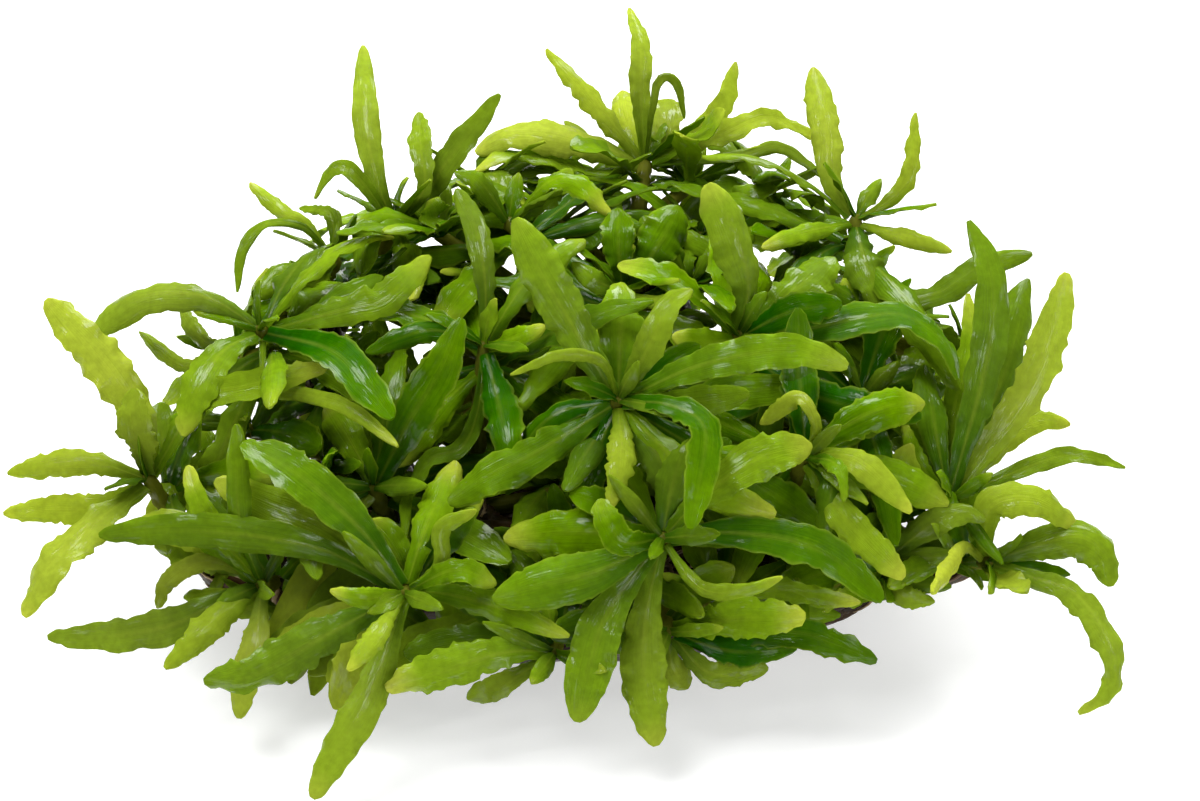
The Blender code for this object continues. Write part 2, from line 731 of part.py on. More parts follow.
def finish(name, colour, roughness):
    """A Principled material."""
    material = bpy.data.materials.new(name)
    material.use_nodes = True
    shader = material.node_tree.nodes["Principled BSDF"]
    shader.inputs["Base Color"].default_value = (*colour, 1.0)
    shader.inputs["Roughness"].default_value = roughness
    shader.inputs["Metallic"].default_value = 0.0
    return material


def wood_rings(points, chance):
    """Irregular round sections along a centre line."""
    centres = smooth_path([Vector(point[:3]) for point in points], (len(points) - 1) * 2)
    count = len(centres)
    rings = []
    across = Vector((0, 0, 1))
    for index, centre in enumerate(centres):
        place = index / (count - 1) * (len(points) - 1)
        lower = min(int(place), len(points) - 2)
        radius = points[lower][3] + (points[lower + 1][3] - points[lower][3]) * (place - lower)
        along = (centres[min(index + 1, count - 1)] - centres[max(index - 1, 0)]).normalized()
        across = (across - along * across.dot(along)).normalized()
        other = along.cross(across)
        ring = []
        for side in range(WOOD_SIDES):
            angle = math.tau * (side + 0.5) / WOOD_SIDES
            reach = radius * (1 + chance.uniform(*WOOD_ROUGHNESS))
            ring.append(centre + (across * math.cos(angle) + other * math.sin(angle)) * reach)
        rings.append(ring)
    rings.append([centres[-1] + along * radius * WOOD_END])
    return rings


def cut_flat(item):
    """The part of a wood piece below the floor, cut away."""
    bm = bmesh.new()
    bm.from_mesh(item.data)
    everything = bm.verts[:] + bm.edges[:] + bm.faces[:]
    cut = bmesh.ops.bisect_plane(
        bm, geom=everything, plane_co=(0, 0, 0), plane_no=(0, 0, 1), clear_inner=True, dist=1e-7
    )
    rim = [piece for piece in cut["geom_cut"] if isinstance(piece, bmesh.types.BMEdge)]
    if rim:
        bmesh.ops.holes_fill(bm, edges=rim, sides=0)
        bmesh.ops.recalc_face_normals(bm, faces=bm.faces)
    bm.to_mesh(item.data)
    bm.free()


def swollen_copy(item, amount, cutters):
    """A cutter: an object's mesh grown outwards by an amount."""
    mesh = item.data.copy()
    normals = [vertex.normal.copy() for vertex in mesh.vertices]
    for vertex, normal in zip(mesh.vertices, normals):
        vertex.co += normal * amount
    copy = bpy.data.objects.new(f"{item.name}_cutter", mesh)
    cutters.objects.link(copy)
    copy.hide_render = True
    copy.display_type = "WIRE"
    return copy


def add_boolean(item, other, operation):
    """An exact Boolean on an object."""
    boolean = item.modifiers.new(f"{operation.lower()}_{other.name}", "BOOLEAN")
    boolean.operation = operation
    boolean.solver = "EXACT"
    boolean.object = other


def make_wood(parts, cutters):
    """The driftwood's pieces, each fork cut clear of what it grows from."""
    chance = random.Random(SEED)
    material = finish("wet_driftwood", (0.045, 0.024, 0.012), 0.6)
    pieces, swollen = {}, {}
    for name, points in WOOD.items():
        item = mesh_object(name, wood_rings(points, chance), parts, material)
        swollen[name] = swollen_copy(item, GAP * MM, cutters)
        cut_flat(item)
        pieces[name] = item
    for name, parent in GROWS_FROM.items():
        add_boolean(pieces[name], swollen[parent], "DIFFERENCE")
    return swollen


def main():
    for item in list(bpy.data.objects):
        bpy.data.objects.remove(item)
    parts = bpy.data.collections.new("downoi_on_driftwood")
    cutters = bpy.data.collections.new("cutters")
    bpy.context.scene.collection.children.link(parts)
    bpy.context.scene.collection.children.link(cutters)
    swollen = make_wood(parts, cutters)
    leaf_green = finish("wet_leaf", (0.16, 0.34, 0.02), 0.3)
    rosette_green = finish("rosette_leaf", (0.13, 0.29, 0.02), 0.3)
    for name, pieces in grow().items():
        stem = mesh_object(f"rosette_{name}", pieces["stem"], parts, rosette_green)
        for cutter in swollen.values():
            add_boolean(stem, cutter, "DIFFERENCE")
        for index, rings in enumerate(pieces["fused"]):
            leaf = mesh_object(f"{name}_fused_leaf_{index + 1}", rings, cutters)
            leaf.hide_render = True
            leaf.display_type = "WIRE"
            add_boolean(stem, leaf, "UNION")
        for leaf_name, rings in pieces["single"].items():
            mesh_object(f"leaf_{leaf_name}", rings, parts, leaf_green)


main()
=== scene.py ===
"""A clump of downoi, an aquarium plant with rosettes of strap-shaped leaves, on driftwood.
The leaves are found in the same way as their solids were, in millimetres, and modelled in metres.
"""
import math
import random
from itertools import product

import bpy
import numpy as np
from mathutils import Matrix, Vector, noise
from mathutils.bvhtree import BVHTree


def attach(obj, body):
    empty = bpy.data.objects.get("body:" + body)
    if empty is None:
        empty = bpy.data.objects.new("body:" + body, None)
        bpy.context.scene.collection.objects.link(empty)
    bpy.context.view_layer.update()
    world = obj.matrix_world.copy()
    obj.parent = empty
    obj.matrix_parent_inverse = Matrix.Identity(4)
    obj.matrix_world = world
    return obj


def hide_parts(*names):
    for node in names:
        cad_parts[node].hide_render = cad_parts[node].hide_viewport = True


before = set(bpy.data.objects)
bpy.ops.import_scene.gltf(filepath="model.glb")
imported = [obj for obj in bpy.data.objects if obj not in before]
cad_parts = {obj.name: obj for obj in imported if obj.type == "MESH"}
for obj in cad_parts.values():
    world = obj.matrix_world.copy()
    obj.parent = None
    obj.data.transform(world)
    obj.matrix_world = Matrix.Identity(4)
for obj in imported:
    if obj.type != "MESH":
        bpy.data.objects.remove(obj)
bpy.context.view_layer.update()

MM = 0.001
SEED = 7

# The plant was measured in one picture, taken from the front and above.
PIXELS_PER_MM = 6.0
PICTURE_CENTRE = (600.0, 400.0)
VIEW_TARGET = Vector((0.0, 12.0, 40.0))
VIEW_DISTANCE = 700.0
VIEW_ELEVATION = math.radians(30.0)
RIGHT = Vector((1.0, 0.0, 0.0))
UP = Vector((0.0, math.sin(VIEW_ELEVATION), math.cos(VIEW_ELEVATION)))
NEAR = Vector((0.0, -math.cos(VIEW_ELEVATION), math.sin(VIEW_ELEVATION)))

# Driftwood: the points that each piece's centre passes, with its radius there.
WOOD = {
    "driftwood_trunk": (
        (-50, 3, 12, 9.5),
        (-36, 0, 13.5, 12.5),
        (-22, 3, 13, 17),
        (-7, 1, 12, 15),
        (9, 3, 12.5, 17),
        (25, 4, 13, 13.5),
        (41, 6, 11.5, 10.5),
    ),
    "driftwood_left_fork": ((-44, 2, 12, 8.5), (-54, 0, 12, 8), (-62, 1, 14, 5.5), (-68, 4, 17, 3.5)),
    "driftwood_right_fork": ((34, 6, 12, 9), (46, 5, 13, 8.5), (55, 4, 13, 6), (61, 3, 15, 3.8)),
    "driftwood_back_stump": ((10, 8, 12, 11), (12, 23, 9.5, 14), (9, 36, 22, 12), (9, 43, 38, 8), (6, 46, 53, 5.5)),
    "driftwood_left_back_fork": (
        (-24, 6, 11, 9),
        (-36, 19, 8.5, 12),
        (-43, 30, 21, 9),
        (-48, 32, 36, 7.5),
        (-48, 30, 46, 4),
    ),
    "driftwood_right_back_fork": ((12, 36, 27, 7.5), (26, 36, 35, 7), (37, 33, 43, 5), (44, 34, 50, 3.5)),
}
# Crowns: where each rosette's leaves meet, as a picture point and a depth towards the viewer in mm.
CROWNS = {
    "middle": (618, 402, 25),
    "front": (662, 538, 31),
    "front_left": (405, 592, 28),
    "left_end": (150, 480, 5),
    "lower_left": (262, 585, 15),
    "right_end": (948, 500, 10),
    "lower_right": (985, 562, 8),
    "top": (645, 165, -30),
    "upper_left": (395, 228, -15),
    "far_left": (335, 262, -15),
    "left": (262, 332, 4),
    "inner_left": (485, 348, 12),
    "centre_left": (375, 488, 12),
    "upper_right": (855, 222, -12),
    "inner_right": (738, 338, 8),
    "right": (805, 457, 22),
    "low_front": (555, 650, 28),
    "low_right": (668, 630, 24),
    "right_side": (885, 560, 12),
    "upper_middle": (622, 292, 2),
    "upper_inner": (510, 225, -8),
}
# Rosettes on the far side, out of the picture's sight, placed in mm.
HIDDEN_CROWNS = {
    "back": (14, 70, 38),
    "back_low": (-14, 64, 22),
    "back_left": (-46, 54, 34),
    "back_right": (46, 56, 38),
    "left_back_side": (-62, 44, 30),
    "right_back_side": (62, 32, 34),
}

# Leaves of each rosette: the name of a leaf that is a piece of its own (or ""), the depth of
# its tip, its width in mm, and the picture points that it passes after the crown.
LEAVES = {
    "middle": (
        ("middle_up_left", 28, 7.5, ((575, 330), (540, 270), (515, 218))),
        ("middle_right", 36, 6.0, ((700, 365), (790, 350), (848, 366))),
        ("middle_drooping", 44, 7.0, ((665, 404), (703, 425), (700, 475), (690, 528))),
        ("", 26, 6.7, ((540, 450), (490, 475), (448, 502))),
        ("", 36, 4.2, ((602, 362), (560, 355), (512, 375))),
        ("", 20, 5.0, ((560, 412), (525, 445), (510, 480))),
        ("", 26, 5.0, ((650, 345), (670, 305), (692, 288))),
        ("", 38, 5.0, ((690, 402), (750, 393))),
        ("", 30, 7.0, ((665, 465), (700, 520))),
        ("", 36, 4.7, ((622, 450), (618, 480), (610, 508))),
        ("", 33, 6.0, ((655, 440), (710, 488), (777, 512))),
        ("", 24, 6.5, ((598, 450), (578, 505))),
        ("", 17, 6.5, ((700, 450), (770, 492), (828, 528))),
    ),
    "front": (
        ("front_down_left", 34, 7.6, ((608, 612), (590, 665), (577, 723))),
        ("front_down", 32, 7.4, ((645, 620), (645, 685), (660, 745))),
        ("front_left_broad", 36, 8.0, ((600, 570), (540, 585), (492, 598))),
        ("front_right_blunt", 30, 7.0, ((720, 532), (790, 540), (840, 562), (885, 600))),
        ("", 42, 5.5, ((700, 587), (745, 590), (782, 577))),
        ("", 26, 8.0, ((600, 532), (560, 532), (505, 538))),
        ("", 39, 5.0, ((625, 542), (608, 522), (600, 500))),
    ),
    "front_left": (
        ("front_left_dark", 27, 7.4, ((370, 540), (330, 500), (285, 465), (240, 440))),
        ("front_left_low", 33, 7.2, ((320, 638), (250, 676), (203, 684))),
        ("front_left_long", 37, 6.2, ((372, 690), (340, 745), (309, 797))),
        ("", 15, 6.0, ((330, 552), (250, 535), (170, 530), (98, 536))),
        ("", 18, 7.0, ((330, 530), (270, 505), (215, 480))),
        ("", 36, 3.5, ((365, 598), (330, 590))),
        ("", 42, 3.8, ((375, 635), (347, 668))),
        ("", 34, 4.2, ((455, 570), (497, 583))),
        ("", 37, 5.8, ((440, 565), (442, 528), (475, 512))),
        ("", 22, 6.5, ((355, 650), (330, 710))),
        ("", 20, 6.0, ((350, 612), (300, 640), (268, 655))),
        ("", 17, 6.0, ((425, 530), (455, 460))),
    ),
    "left_end": (
        ("left_end_upper", 8, 7.2, ((143, 422), (114, 375), (82, 338), (46, 299))),
        ("", 4, 4.7, ((100, 464), (60, 463), (5, 475))),
        ("left_end_lower", 14, 7.3, ((95, 524), (50, 566), (18, 613))),
        ("", 14, 5.0, ((200, 402), (250, 385), (328, 365))),
        ("", 9, 5.0, ((100, 506), (50, 509), (3, 513))),
        ("", 12, 6.5, ((135, 425), (134, 388))),
    ),
    "lower_left": (
        ("lower_left_long", 16, 6.2, ((215, 604), (170, 625), (110, 635), (47, 637))),
        ("lower_left_down", 24, 7.6, ((255, 640), (245, 670), (238, 718))),
        ("", 24, 5.0, ((215, 620), (190, 645), (165, 668))),
        ("", 12, 3.3, ((228, 565), (200, 562), (168, 580), (157, 608))),
        ("", 20, 4.2, ((205, 515), (185, 465))),
        ("", 28, 4.2, ((240, 520), (235, 425))),
        ("", 26, 4.2, ((285, 545), (306, 548), (318, 580))),
    ),
    "right_end": (
        ("right_end_tall", 6, 6.5, ((982, 380), (993, 310), (988, 262), (969, 219))),
        ("right_end_outer", 2, 6.6, ((1020, 400), (1050, 335), (1069, 271))),
        ("", 6, 3.2, ((1030, 466), (1075, 455), (1128, 465))),
        ("", -6, 7.5, ((1005, 370), (1030, 278))),
        ("", -4, 4.4, ((1005, 440), (1040, 420), (1069, 424))),
        ("", 4, 5.8, ((935, 430), (925, 365))),
        ("", 10, 2.8, ((918, 460), (903, 420))),
        ("", -2, 4.4, ((954, 410), (970, 350), (968, 293))),
    ),
    "lower_right": (
        ("lower_right_drooping", 14, 5.0, ((1032, 577), (1074, 593), (1106, 635), (1116, 672), (1107, 697), (1079, 714))),
        ("", 12, 7.0, ((1033, 546), (1078, 536), (1108, 556), (1114, 588))),
        ("", 12, 6.0, ((990, 508), (1035, 499), (1082, 526))),
        ("", 22, 6.5, ((968, 546), (952, 566), (934, 592))),
        ("", 20, 5.5, ((992, 574), (1026, 589))),
    ),
    "top": (
        ("top_spike", -34, 4.0, ((640, 90), (641, 45), (632, 3))),
        ("top_left_broad", -24, 8.6, ((600, 146), (550, 131), (505, 131), (474, 150))),
        ("", -30, 4.6, ((608, 118), (573, 76), (546, 50))),
        ("", -38, 2.6, ((600, 150), (565, 120))),
        ("", -42, 4.8, ((628, 120), (622, 88))),
        ("", -26, 3.2, ((652, 112), (660, 80), (676, 82), (688, 120))),
        ("", -36, 4.0, ((700, 130), (725, 100), (735, 63))),
        ("", -24, 5.8, ((700, 135), (722, 108))),
        ("", -42, 6.5, ((662, 130), (666, 96))),
        ("", -34, 4.4, ((720, 136), (768, 118), (820, 136))),
        ("", -26, 2.6, ((740, 155), (780, 147), (830, 178))),
        ("", -18, 6.0, ((600, 172), (555, 160), (505, 153), (474, 163))),
    ),
    "upper_left": (
        ("upper_left_spike", -22, 4.7, ((377, 180), (366, 120), (364, 42))),
        ("", -10, 5.2, ((412, 222), (445, 165), (500, 94))),
        ("", -14, 8.0, ((424, 190), (421, 150), (417, 110))),
        ("", -12, 3.0, ((358, 178), (336, 168), (311, 197))),
        ("", -2, 6.3, ((368, 228), (362, 275))),
        ("", 0, 5.5, ((408, 260), (412, 300))),
    ),
    "far_left": (
        ("", -18, 3.0, ((305, 222), (285, 212), (250, 180))),
        ("", -6, 3.0, ((305, 228), (265, 224), (243, 250), (238, 292))),
        ("", -4, 5.0, ((290, 270), (255, 295))),
        ("", 2, 4.0, ((310, 290), (285, 302))),
        ("", -22, 2.6, ((330, 215), (300, 208))),
    ),
    "left": (
        ("left_arched", 2, 5.8, ((225, 306), (190, 294), (140, 298), (82, 338))),
        ("left_glossy", 26, 8.3, ((330, 350), (365, 385), (392, 415))),
        ("", 14, 6.7, ((225, 350), (200, 385), (182, 435))),
        ("", 26, 5.8, ((268, 385), (310, 395), (350, 408), (395, 440))),
        ("", 6, 5.8, ((350, 308), (385, 298), (430, 255))),
        ("", -4, 3.7, ((190, 366), (140, 332))),
        ("", -10, 2.8, ((215, 345), (190, 325), (180, 303))),
    ),
    "inner_left": (
        ("inner_left_down", 27, 6.2, ((498, 400), (507, 440), (512, 478))),
        ("", 4, 4.2, ((485, 280), (475, 225), (455, 185))),
        ("", 20, 5.0, ((520, 336), (545, 325))),
        ("", 8, 5.0, ((540, 345), (580, 315))),
        ("", 16, 4.2, ((430, 330), (365, 352))),
        ("", 20, 3.2, ((478, 410), (462, 447), (430, 460), (408, 500), (404, 545))),
    ),
    "centre_left": (
        ("", 22, 7.5, ((410, 420), (440, 370), (462, 318))),
        ("", 6, 6.0, ((350, 440), (325, 400))),
        ("", 10, 6.0, ((335, 500), (300, 480))),
    ),
    "upper_right": (
        ("upper_right_spike", -22, 5.6, ((831, 180), (826, 130), (813, 66))),
        ("", -14, 3.2, ((895, 195), (912, 165), (915, 113))),
        ("", 0, 6.7, ((866, 265), (885, 310))),
        ("", -8, 3.4, ((905, 236), (953, 250))),
        ("", -14, 5.8, ((885, 292), (935, 294), (980, 266), (1035, 251))),
        ("", 0, 3.4, ((805, 232), (762, 247))),
    ),
    "inner_right": (
        ("inner_right_up", 12, 8.3, ((748, 285), (735, 235), (712, 182))),
        ("inner_right_arched", 12, 7.5, ((800, 330), (860, 318), (905, 316), (945, 345), (958, 378))),
        ("", 18, 7.5, ((790, 385), (860, 408), (922, 415))),
        ("", 2, 7.5, ((785, 298), (835, 255))),
        ("", 14, 6.0, ((790, 312), (842, 303))),
        ("", 14, 5.0, ((705, 342), (672, 336))),
    ),
    "right": (
        ("", 40, 6.0, ((816, 425), (798, 398), (760, 425))),
        ("", 32, 5.0, ((835, 455), (865, 465), (912, 510))),
        ("", 30, 5.5, ((835, 505), (870, 545), (905, 578))),
        ("", 36, 2.8, ((832, 462), (843, 480), (845, 500))),
        ("", 26, 4.2, ((830, 478), (828, 505), (822, 535))),
    ),
    "low_front": (
        ("low_front_left", 36, 7.0, ((505, 652), (450, 668), (386, 690))),
        ("", 26, 4.2, ((510, 680), (465, 700))),
        ("", 36, 5.0, ((545, 600), (530, 628))),
        ("", 30, 5.5, ((520, 610), (480, 600))),
    ),
    "low_right": (
        ("", 34, 6.5, ((740, 618), (805, 618))),
        ("", 24, 5.5, ((730, 650), (797, 648))),
        ("", 20, 5.0, ((710, 672), (768, 668))),
        ("", 26, 5.5, ((790, 632), (830, 642), (876, 661))),
        ("", 20, 7.5, ((760, 590), (820, 597), (862, 606))),
        ("", 18, 4.5, ((672, 665), (690, 690))),
    ),
    "right_side": (
        ("", 14, 5.0, ((930, 525), (965, 512), (985, 520))),
        ("", 16, 5.5, ((900, 594), (936, 602))),
        ("", 20, 5.0, ((860, 590), (835, 600))),
    ),
    "upper_middle": (
        ("", 4, 5.8, ((619, 250), (618, 207))),
        ("", 0, 8.0, ((655, 250), (680, 205))),
        ("", 14, 4.2, ((655, 300), (690, 293))),
        ("", 6, 4.0, ((595, 280), (572, 262))),
    ),
    "upper_inner": (
        ("", -6, 5.0, ((545, 198), (572, 168))),
        ("", -2, 4.0, ((480, 182), (455, 172))),
        ("", -2, 5.0, ((545, 185), (575, 180), (612, 212))),
    ),
}

# Leaf shape: station along the leaf, and its half width there as a share of the widest.
BLADE = ((0.0, 0.27), (0.14, 0.46), (0.34, 0.84), (0.6, 1.0), (0.82, 0.84), (0.94, 0.5), (1.0, 0.0))
SMALL_BLADE = ((0.0, 0.27), (0.24, 0.64), (0.5, 1.0), (0.76, 0.9), (0.93, 0.5), (1.0, 0.0))
FILL_BLADE = ((0.0, 0.27), (0.3, 0.74), (0.62, 1.0), (0.88, 0.62), (1.0, 0.0))
LEAF_TOP = 0.15
LEAF_BOTTOM = 0.85
SMALL_BOTTOM = 0.6
CHANNEL = 0.22
SMALL_CHANNEL = 0.1
ARCH = 3.0
# A sharp bend turns the blade's face to the bend's outer side.
FOLD = 1.3
FOLD_TURN = 0.3
BEND_REACH = 0.12
SQUEEZES = (1.0, 0.85, 0.7, 0.5)
CLEARANCE = 0.42
LOWEST = 0.7
PATH_STEPS = 40
SHIFTS = (0, 2, -2, 4, -4, 6, -6, 8, -8, 11, -11, 14, -14, 18, -18)
BENDS = (0, 3, -3)
# How far from the crown's middle a leaf starts: clear of the bud, or sunk in it.
TRIMS = (4.0, 6.0, 9.0)
FUSED_TRIM = 1.2

# Stems, from the wood to the crown, ending in a bud.
STEM_SIDES = 4
STEM_FOOT_RADIUS = 1.9
STEM_RADIUS = 1.5
STEM_SUNK = 1.5
STEM_SLIDES = (0.0, 0.25, -0.25, 0.5, -0.5)
STEM_STRAIGHT = 0.3
CROWN_RADIUS = 2.3
BUD_LENGTH = 5.0
CLUMP_HEART = Vector((0.0, 17.0, 5.0))
HEART_SPREAD = 0.6

# Leaves that the picture doesn't show: on the far side, filling each rosette round its axis.
FILL_TURN = math.radians(137.5)
FILL_TRIES = 40
FILL_LEAST_ANGLE = math.radians(30)
FILL_LENGTHS = (28.0, 40.0)
FILL_WIDTHS = (5.0, 7.5)
FILL_OPENINGS = (math.radians(48), math.radians(76))
FILL_DROOP = 0.42
FILL_MOST = {"seen": 2, "hidden": 5}
# The clump's closed mass in the picture, which the leaves out of sight stay behind.
MASS_OUTLINE = (
    (150, 400), (250, 330), (250, 262), (300, 232), (370, 205), (450, 185), (520, 150), (600, 130),
    (700, 120), (770, 150), (850, 210), (880, 270), (950, 310), (985, 400), (1000, 470), (985, 560),
    (900, 598), (800, 640), (690, 680), (560, 668), (430, 680), (330, 700), (250, 680), (180, 600), (130, 530),
)


def view_point(across, down, near):
    """The point that is seen at a picture point, at a depth towards the viewer."""
    scale = (VIEW_DISTANCE - near) / VIEW_DISTANCE / PIXELS_PER_MM
    return (
        VIEW_TARGET
        + RIGHT * (across - PICTURE_CENTRE[0]) * scale
        + UP * (PICTURE_CENTRE[1] - down) * scale
        + NEAR * near
    )


def seen_at(point):
    """The picture point where a point is seen."""
    offset = point - VIEW_TARGET
    scale = PIXELS_PER_MM * VIEW_DISTANCE / (VIEW_DISTANCE - offset.dot(NEAR))
    return PICTURE_CENTRE[0] + offset.dot(RIGHT) * scale, PICTURE_CENTRE[1] - offset.dot(UP) * scale


def in_mass(point):
    """Whether a point is seen inside the clump's closed mass."""
    x, y = seen_at(point)
    inside = False
    for (x0, y0), (x1, y1) in zip(MASS_OUTLINE, MASS_OUTLINE[1:] + MASS_OUTLINE[:1]):
        if (y0 > y) != (y1 > y) and x < x0 + (y - y0) * (x1 - x0) / (y1 - y0):
            inside = not inside
    return inside


def smooth_path(points, steps=PATH_STEPS):
    """Evenly spaced points on a smooth curve through the given ones."""
    ends = [points[0] * 2 - points[1]] + list(points) + [points[-1] * 2 - points[-2]]
    dense = []
    for a, b, c, d in zip(ends, ends[1:], ends[2:], ends[3:]):
        for i in range(12):
            t = i / 12
            dense.append(
                (b * 2 + (c - a) * t + (a * 2 - b * 5 + c * 4 - d) * t * t + (b * 3 - a - c * 3 + d) * t ** 3) / 2
            )
    dense.append(points[-1].copy())
    lengths = [0.0]
    for a, b in zip(dense, dense[1:]):
        lengths.append(lengths[-1] + (b - a).length)
    even = []
    index = 0
    for i in range(steps + 1):
        wanted = lengths[-1] * i / steps
        while index < len(dense) - 2 and lengths[index + 1] < wanted:
            index += 1
        span = lengths[index + 1] - lengths[index]
        even.append(dense[index].lerp(dense[index + 1], (wanted - lengths[index]) / max(span, 1e-9)))
    return even


def at_share(path, share):
    """The point at a share of an even path, and the path's direction there."""
    place = share * (len(path) - 1)
    index = min(int(place), len(path) - 2)
    point = path[index].lerp(path[index + 1], place - index)
    before = path[max(index - 1, 0)]
    after = path[min(index + 2, len(path) - 1)]
    return point, (after - before).normalized()


def arched_out(path, share, length, face):
    """The outer side of the path's bend, as long as the bend is sharp, turned to the face's side."""
    before = at_share(path, max(share - BEND_REACH, 0.0))[1]
    after = at_share(path, min(share + BEND_REACH, 1.0))[1]
    outer = (before - after) / (length * 2 * BEND_REACH)
    return -outer if outer.dot(face) < -FOLD_TURN * outer.length else outer


def axis_of(crown):
    """The way a rosette faces: out from the heart of the clump."""
    heart = Vector((crown.x * HEART_SPREAD, CLUMP_HEART.y, CLUMP_HEART.z))
    return (crown - heart).normalized()


def picture_leaf(crown_reading, row):
    """A leaf's points from its reading: the crown, then the picture points at rising depth."""
    name, tip_near, width, readings = row
    flat = [Vector(crown_reading[:2])] + [Vector(reading) for reading in readings]
    lengths = [0.0]
    for a, b in zip(flat, flat[1:]):
        lengths.append(lengths[-1] + (b - a).length)
    points = []
    for place, length in zip(flat, lengths):
        share = length / lengths[-1]
        near = crown_reading[2] + (tip_near - crown_reading[2]) * share + ARCH * 4 * share * (1 - share)
        points.append(view_point(place.x, place.y, near))
    return points


def moved(points, shift, bend):
    """The leaf swung in depth: its tip by shift and its middle by bend, and its base kept."""
    count = len(points) - 1
    result = []
    for i, point in enumerate(points):
        share = i / count
        eye = VIEW_TARGET + NEAR * VIEW_DISTANCE
        sight = (eye - point).normalized()
        result.append(point + sight * (shift * share ** 1.2 + bend * 4 * share * (1 - share)))
    return result


def leaf_stations(points, width, face, blade, start):
    """The stations of a leaf: its share and width there, the place, the way and the face."""
    path = smooth_path(points)
    length = sum((b - a).length for a, b in zip(path, path[1:]))
    first = start / length
    normal = face
    for place, wide in blade:
        share = first + (1 - first) * place
        centre, along = at_share(path, share)
        wished = face + arched_out(path, share, length, face) * width * FOLD
        wished = (wished - along * wished.dot(along)) / max(wished.length, 1.0)
        kept = normal - along * normal.dot(along)
        normal = (wished * wished.length + kept * (1.05 - wished.length)).normalized()
        yield place, wide, centre, along, normal


def leaf_rings(points, width, face, blade, start=0.0, more=0.0):
    """The sections of a leaf's solid, each with a clearance added: edges and keel, and on a
    large leaf also a sunk top."""
    large = blade is BLADE
    channel, bottom = (CHANNEL, LEAF_BOTTOM) if large else (SMALL_CHANNEL, SMALL_BOTTOM)
    rings = []
    for _, wide, centre, along, normal in leaf_stations(points, width, face, blade, start):
        side = along.cross(normal)
        half = width / 2 * wide
        if wide == 0.0:
            rings.append([centre + along * more])
            continue
        lift = normal * (channel * half + (0.0 if large else more))
        ring = [
            centre - normal * (bottom + more),
            centre - side * (half + more) + lift,
            centre + side * (half + more) + lift,
        ]
        if large:
            ring.insert(2, centre + normal * (LEAF_TOP + more))
        rings.append(ring)
    return rings


def loft(rings):
    """Vertices and triangles of a solid through rings of equal size, up to a last point."""
    vertices = [point for ring in rings for point in ring]
    size = len(rings[0])
    faces = [(0, i, i + 1) for i in range(1, size - 1)]
    for row in range(len(rings) - 1):
        base = row * size
        for i in range(size):
            j = (i + 1) % size
            if len(rings[row + 1]) == 1:
                faces.append((base + i, base + size, base + j))
            else:
                faces.append((base + i, base + size + i, base + size + j))
                faces.append((base + i, base + size + j, base + j))
    return vertices, faces


def tree(rings):
    """A search tree of a solid's faces."""
    vertices, faces = loft(rings)
    return BVHTree.FromPolygons(vertices, faces)


def cuts_itself(rings):
    """Whether any two faces of a solid that share no corner cross."""
    vertices, faces = loft(rings)
    whole = BVHTree.FromPolygons(vertices, faces)
    return any(not set(faces[a]) & set(faces[b]) for a, b in whole.overlap(whole))


def box_of(rings):
    """The lowest and highest coordinates of a solid's sections."""
    points = [point for ring in rings for point in ring]
    low = Vector(min(p[i] for p in points) for i in range(3))
    high = Vector(max(p[i] for p in points) for i in range(3))
    return low, high


def boxes_meet(one, other):
    """Whether two boxes share any space."""
    return all(one[0][i] <= other[1][i] and other[0][i] <= one[1][i] for i in range(3))


class Obstacles:
    """What already stands in the clump, so that each new piece keeps clear of it."""

    def __init__(self):
        self.solids = []

    def add(self, owner, rings, outer=None):
        self.solids.append((owner, box_of(rings), tree(rings), tree(outer) if outer else None))

    def meets(self, rings, owner, outer):
        """Whether a leaf touches another piece, or, past its base, a leaf of its own rosette."""
        box = box_of(rings)
        whole = tree(rings)
        tip = tree(outer)
        for other, other_box, other_tree, other_outer in self.solids:
            if not boxes_meet(box, other_box):
                continue
            if other != owner:
                if whole.overlap(other_tree):
                    return True
            elif other_outer and tip.overlap(other_outer):
                return True
        return False


def wood_segments():
    """The wood's centre lines as short tapering stretches."""
    starts, ends, first_radii, last_radii = [], [], [], []
    for points in WOOD.values():
        for a, b in zip(points, points[1:]):
            starts.append(a[:3])
            ends.append(b[:3])
            first_radii.append(a[3])
            last_radii.append(b[3])
    return np.array(starts, float), np.array(ends, float), np.array(first_radii), np.array(last_radii)


WOOD_SEGMENTS = wood_segments()


def wood_distances(point, slide=0.0):
    """The distance from each stretch's surface, and the nearest point of its centre line."""
    starts, ends, first_radii, last_radii = WOOD_SEGMENTS
    way = ends - starts
    offset = np.array(point) - starts
    share = (offset * way).sum(axis=1) / (way * way).sum(axis=1) + slide
    share = np.clip(share, 0.0, 1.0)
    nearest = starts + way * share[:, None]
    distance = np.linalg.norm(np.array(point) - nearest, axis=1)
    return distance - first_radii - (last_radii - first_radii) * share, nearest


def wood_distance(point):
    """The distance from the wood's surface."""
    return float(wood_distances(point)[0].min())


def wood_feet(crown):
    """Places on the wood that a stem may grow from, the nearest first."""
    feet = []
    for slide in STEM_SLIDES:
        distances, nearest = wood_distances(crown, slide)
        feet += [(float(d), Vector(place)) for d, place in zip(distances, nearest)]
    return sorted(feet, key=lambda foot: foot[0])


def clear_of_wood(rings):
    """Whether every section of a leaf stays above the floor and off the wood."""
    for ring in rings:
        for point in ring:
            if point.z < LOWEST:
                return False
    for ring in rings[1:]:
        for point in ring:
            if wood_distance(point) < CLEARANCE:
                return False
    return True


